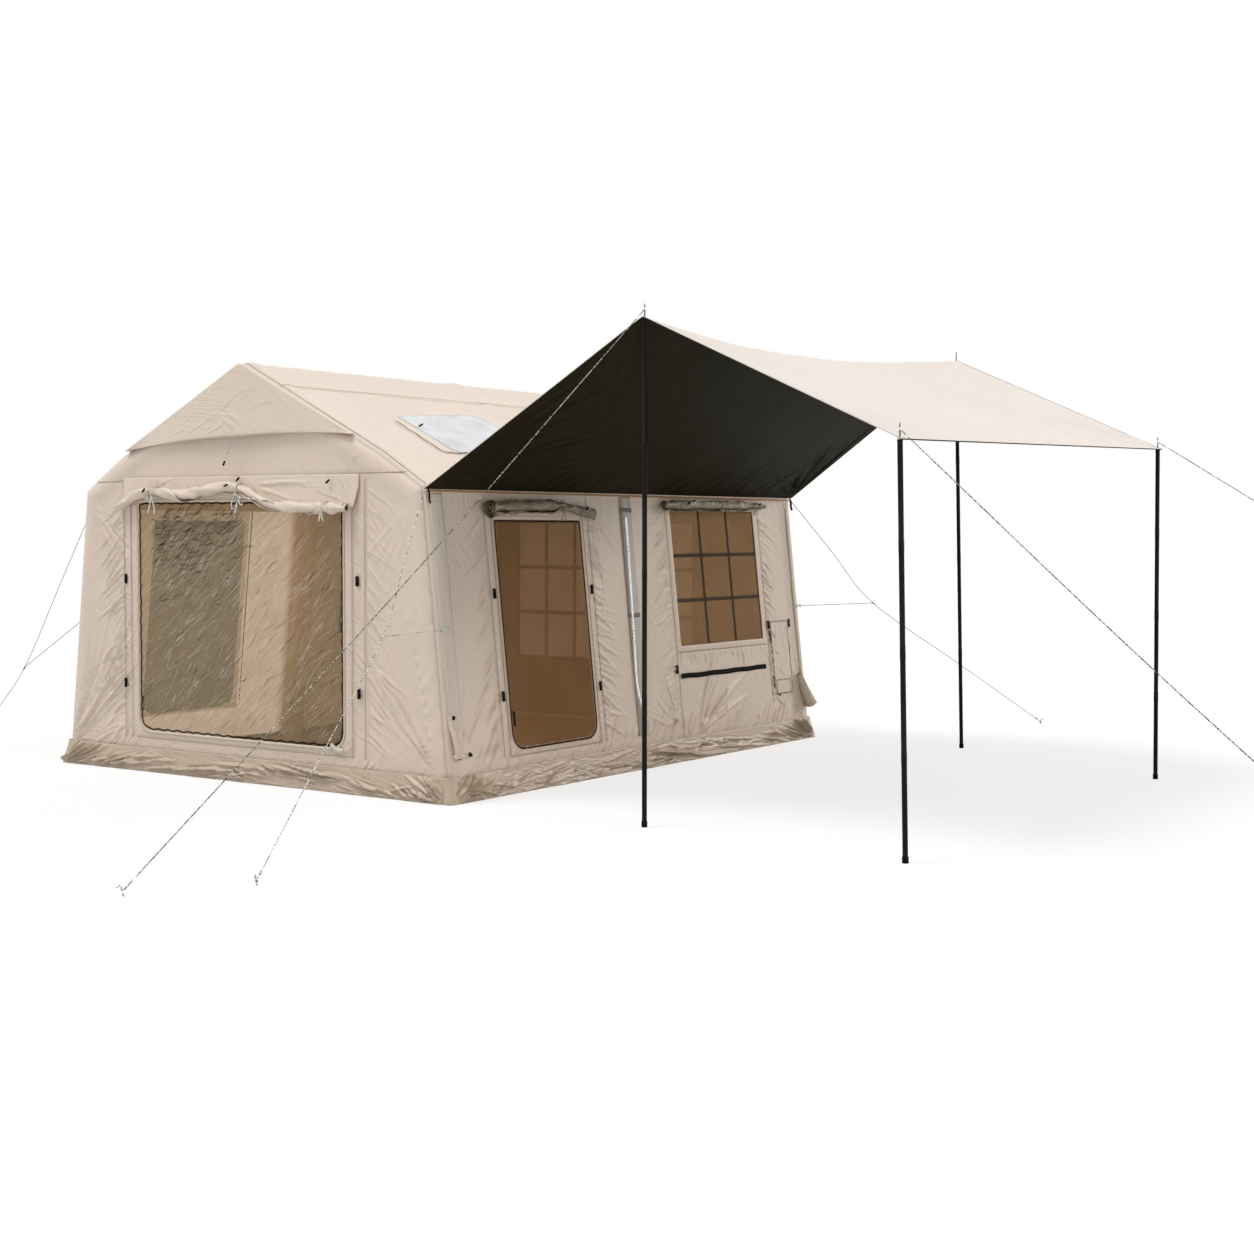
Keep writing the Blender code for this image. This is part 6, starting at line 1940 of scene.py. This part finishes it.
def dressRoof():
    lines = [[(-1.975, ridgeRun + down), (1.975, ridgeRun + down)] for down in (-0.32, 0.32)]
    lines += [[(y, eaveRun + 0.02), (y, sectionLength - eaveRun - 0.02)] for y in (-1.952, 1.952)]
    ribbons("roofSeams", wrapPlace, lines, 0.005, onCloth(roofRelief, 0.0006), seamThreadAndShade, thickness=0.0008,
            step=0.02)
    sky = openings["skylight"]
    near, low = sky["a"][0] - 0.144, sky["b"][0] - 0.045
    edge = [(near + 0.015, ridgeRun - 0.74), (near, low + 0.02), (near + 0.02, low), (sky["a"][1], low)]
    ribbons("skylightZip", wrapPlace, [wavy(edge, 0.004, 0.14, 295)], 0.007, 0.0052, zipBlack,
            thickness=0.0014)
    spot = wrapPlace(np.array([sky["a"][0] + 0.03]), np.array([ridgeRun - 0.80]), np.array([0.014]))[0]
    addToggles("skylightToggle", [spun(toggleProfile, 14, spot, (0.2, 1, 0.5))])


def dressInside():
    # a zip that closes the doorways' inner cover
    door = openings["sideDoor"]
    for name, place in (("right", rightWall), ("left", leftWall)):
        ribbons(name + "InnerLine", place, [[(door["a"][1] + 0.056, 0.2), (door["a"][1] + 0.056, 1.6)]],
                0.008, -0.0080, zipBlack)


dress("front", frontWall, frontRelief, "front")
dress("rear", rearWall, rearRelief, "rear")
for name, side, place, relief in (("right", 1, rightWall, rightRelief), ("left", -1, leftWall, leftRelief)):
    dress(name, place, relief, "side")
    dressSide(name, side, place, relief)
anchorRings()
makeHeaderFlap()
makeHoodTie()
makeDuctFlap()
makeFootFlaps()
dressRoof()
dressInside()
ribbons("zipStart", frontWall, [[(0.70, 0.266), (0.735, 0.240), (0.79, 0.236)]], 0.03,
        lambda u, v: 0.006 + 0.003 * latticeNoise(u, v, 0.02, 296), whiteTape, step=0.006)
ribbons("awningPiping", rightWall, [[(-1.965, 1.672), (1.965, 1.674)]], 0.010, onCloth(rightRelief, 0.002),
        pipingTan, thickness=0.003)
print("fittings made")


# air beams inside the cabin
beams = {"arch": 0.075, "purlin": 0.06, "eaveBend": 0.26, "ridgeBend": 0.30, "wall": 0.0043, "foot": 0.0063}


def insetSection(inset):
    # the section's knots, moved in: foot, eave, roof knee and ridge
    outer = [Vector(point) for point in sectionKnots() + [(0, cabin["ridge"])]]
    lines = []
    for start, end in zip(outer, outer[1:]):
        run = (end - start).normalized()
        lines.append((start + Vector((-run.y, run.x)) * inset, run))
    lines = [(Vector((0, beams["foot"])), Vector((1, 0)))] + lines + [(Vector((0, 0)), Vector((0, 1)))]
    points = []
    for (p, d), (q, e) in zip(lines, lines[1:]):
        points.append(p + d * (((q.x - p.x) * e.y - (q.y - p.y) * e.x) / (d.x * e.y - d.y * e.x)))
    return points


def makeBeams():
    half = [tuple(point) for point in insetSection(beams["wall"] + beams["arch"])]
    knots = half + [(-x, z) for x, z in reversed(half[:-1])]
    bends = (beams["eaveBend"], 0.1, beams["ridgeBend"], 0.1, beams["eaveBend"])
    route = roundedLine(knots, bends, 10)
    for name in ("front_arch", "middle_arch", "rear_arch"):
        low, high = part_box(name)
        points = [(point[0], (low.y + high.y) / 2, point[1]) for point in route]
        curvePiece(name.replace("_arch", "Arch"), [points], beams["arch"] * 0.985, beamSleeve,
                   replaced=(name,), resolution=7, asMesh=True)
    for name in ("ridge_beam", "right_eave_beam", "left_eave_beam"):
        for bay in ("front", "rear"):
            low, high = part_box(f"{name}_{bay}")
            middle = (low + high) / 2
            step = Vector((0, 0.02, 0))
            points = [Vector((middle.x, low.y, middle.z)) + step, Vector((middle.x, high.y, middle.z)) - step]
            label = name.replace("_beam", "").replace("_eave", "Eave") + bay.capitalize() + "Tube"
            curvePiece(label, [smoothRoute(points, 8)], beams["purlin"] * 0.985, beamSleeve,
                       replaced=(f"{name}_{bay}",), resolution=7, asMesh=True)


makeBeams()
print("air beams made")


def finishNode(name, material):
    item = nodes[name]
    item.data.materials.clear()
    item.data.materials.append(material)


for name in ("front_door_slider", "right_door_slider", "left_door_slider", "cable_port_slider"):
    finishNode(name, zipBlack)
finishNode("valve_body", valveBlack)
finishNode("valve_cap", valveBlack)


# the floor and the light
studio = {
    "sky": 0.46, "bounce": 0.73, "shadeLift": 0.74,
    "key": {"energy": 1.9, "angle": 24, "towards": (-0.30, -0.34, 0.90), "colour": (1, 1, 1)},
    "fill": {"energy": 0.34, "angle": 40, "towards": (0.86, -0.42, 0.28), "colour": (1, 0.91, 0.81)},
    "back": {"energy": 1.2, "angle": 14, "towards": (0.46, 0.80, 0.38), "colour": (1, 0.93, 0.85)},
}


def makeStudio():
    world = bpy.data.worlds.new("paleRoom")
    bpy.context.scene.world = world
    world.use_nodes = True
    tree = world.node_tree
    tree.nodes.clear()
    path = tree.nodes.new("ShaderNodeLightPath").outputs
    seen = maths(tree, "MAXIMUM", path["Is Camera Ray"],
                 maths(tree, "MAXIMUM", path["Is Glossy Ray"], path["Is Transmission Ray"]))
    lighting = addNode(tree, "Background", {"Color": (1, 1, 1, 1), "Strength": studio["sky"]})
    backdrop = addNode(tree, "Background", {"Color": (1, 1, 1, 1), "Strength": 1.0})
    mixed = addNode(tree, "MixShader", {0: seen, 1: lighting.outputs[0], 2: backdrop.outputs[0]})
    output = tree.nodes.new("ShaderNodeOutputWorld")
    tree.links.new(mixed.outputs[0], output.inputs["Surface"])
    for name in ("key", "fill", "back"):
        facts = studio[name]
        sun = bpy.data.lights.new(name + "Light", "SUN")
        sun.energy, sun.angle, sun.color = facts["energy"], math.radians(facts["angle"]), facts["colour"]
        item = bpy.data.objects.new(name + "Light", sun)
        item.rotation_euler = Vector(facts["towards"]).to_track_quat("Z", "Y").to_euler()
        bpy.context.scene.collection.objects.link(item)
    bm = bmesh.new()
    bmesh.ops.create_grid(bm, x_segments=1, y_segments=1, size=150)
    bmesh.ops.translate(bm, verts=bm.verts, vec=(0, 0, -0.0005))
    mesh = meshFrom(bm, "paleFloor")
    floor = bpy.data.objects.new("paleFloor", mesh)
    bpy.context.scene.collection.objects.link(floor)
    material, tree, inputs, *_ = newMaterial("paleFloor", 0.95, Specular_IOR_Level=0.0)
    seen = tree.nodes.new("ShaderNodeLightPath").outputs["Is Camera Ray"]
    grey, shade = ((studio[key],) * 3 + (1,) for key in ("bounce", "shadeLift"))
    white = (0.97 * (1 - studio["shadeLift"]),) * 3 + (1,)
    link(blended(tree, seen, grey, white), inputs["Base Color"])
    link(blended(tree, seen, (0, 0, 0, 1), shade), inputs["Emission Color"])
    inputs["Emission Strength"].default_value = 1.0
    mesh.materials.append(material)
    bpy.context.scene.view_settings.view_transform = "Standard"


makeStudio()
print("studio made")
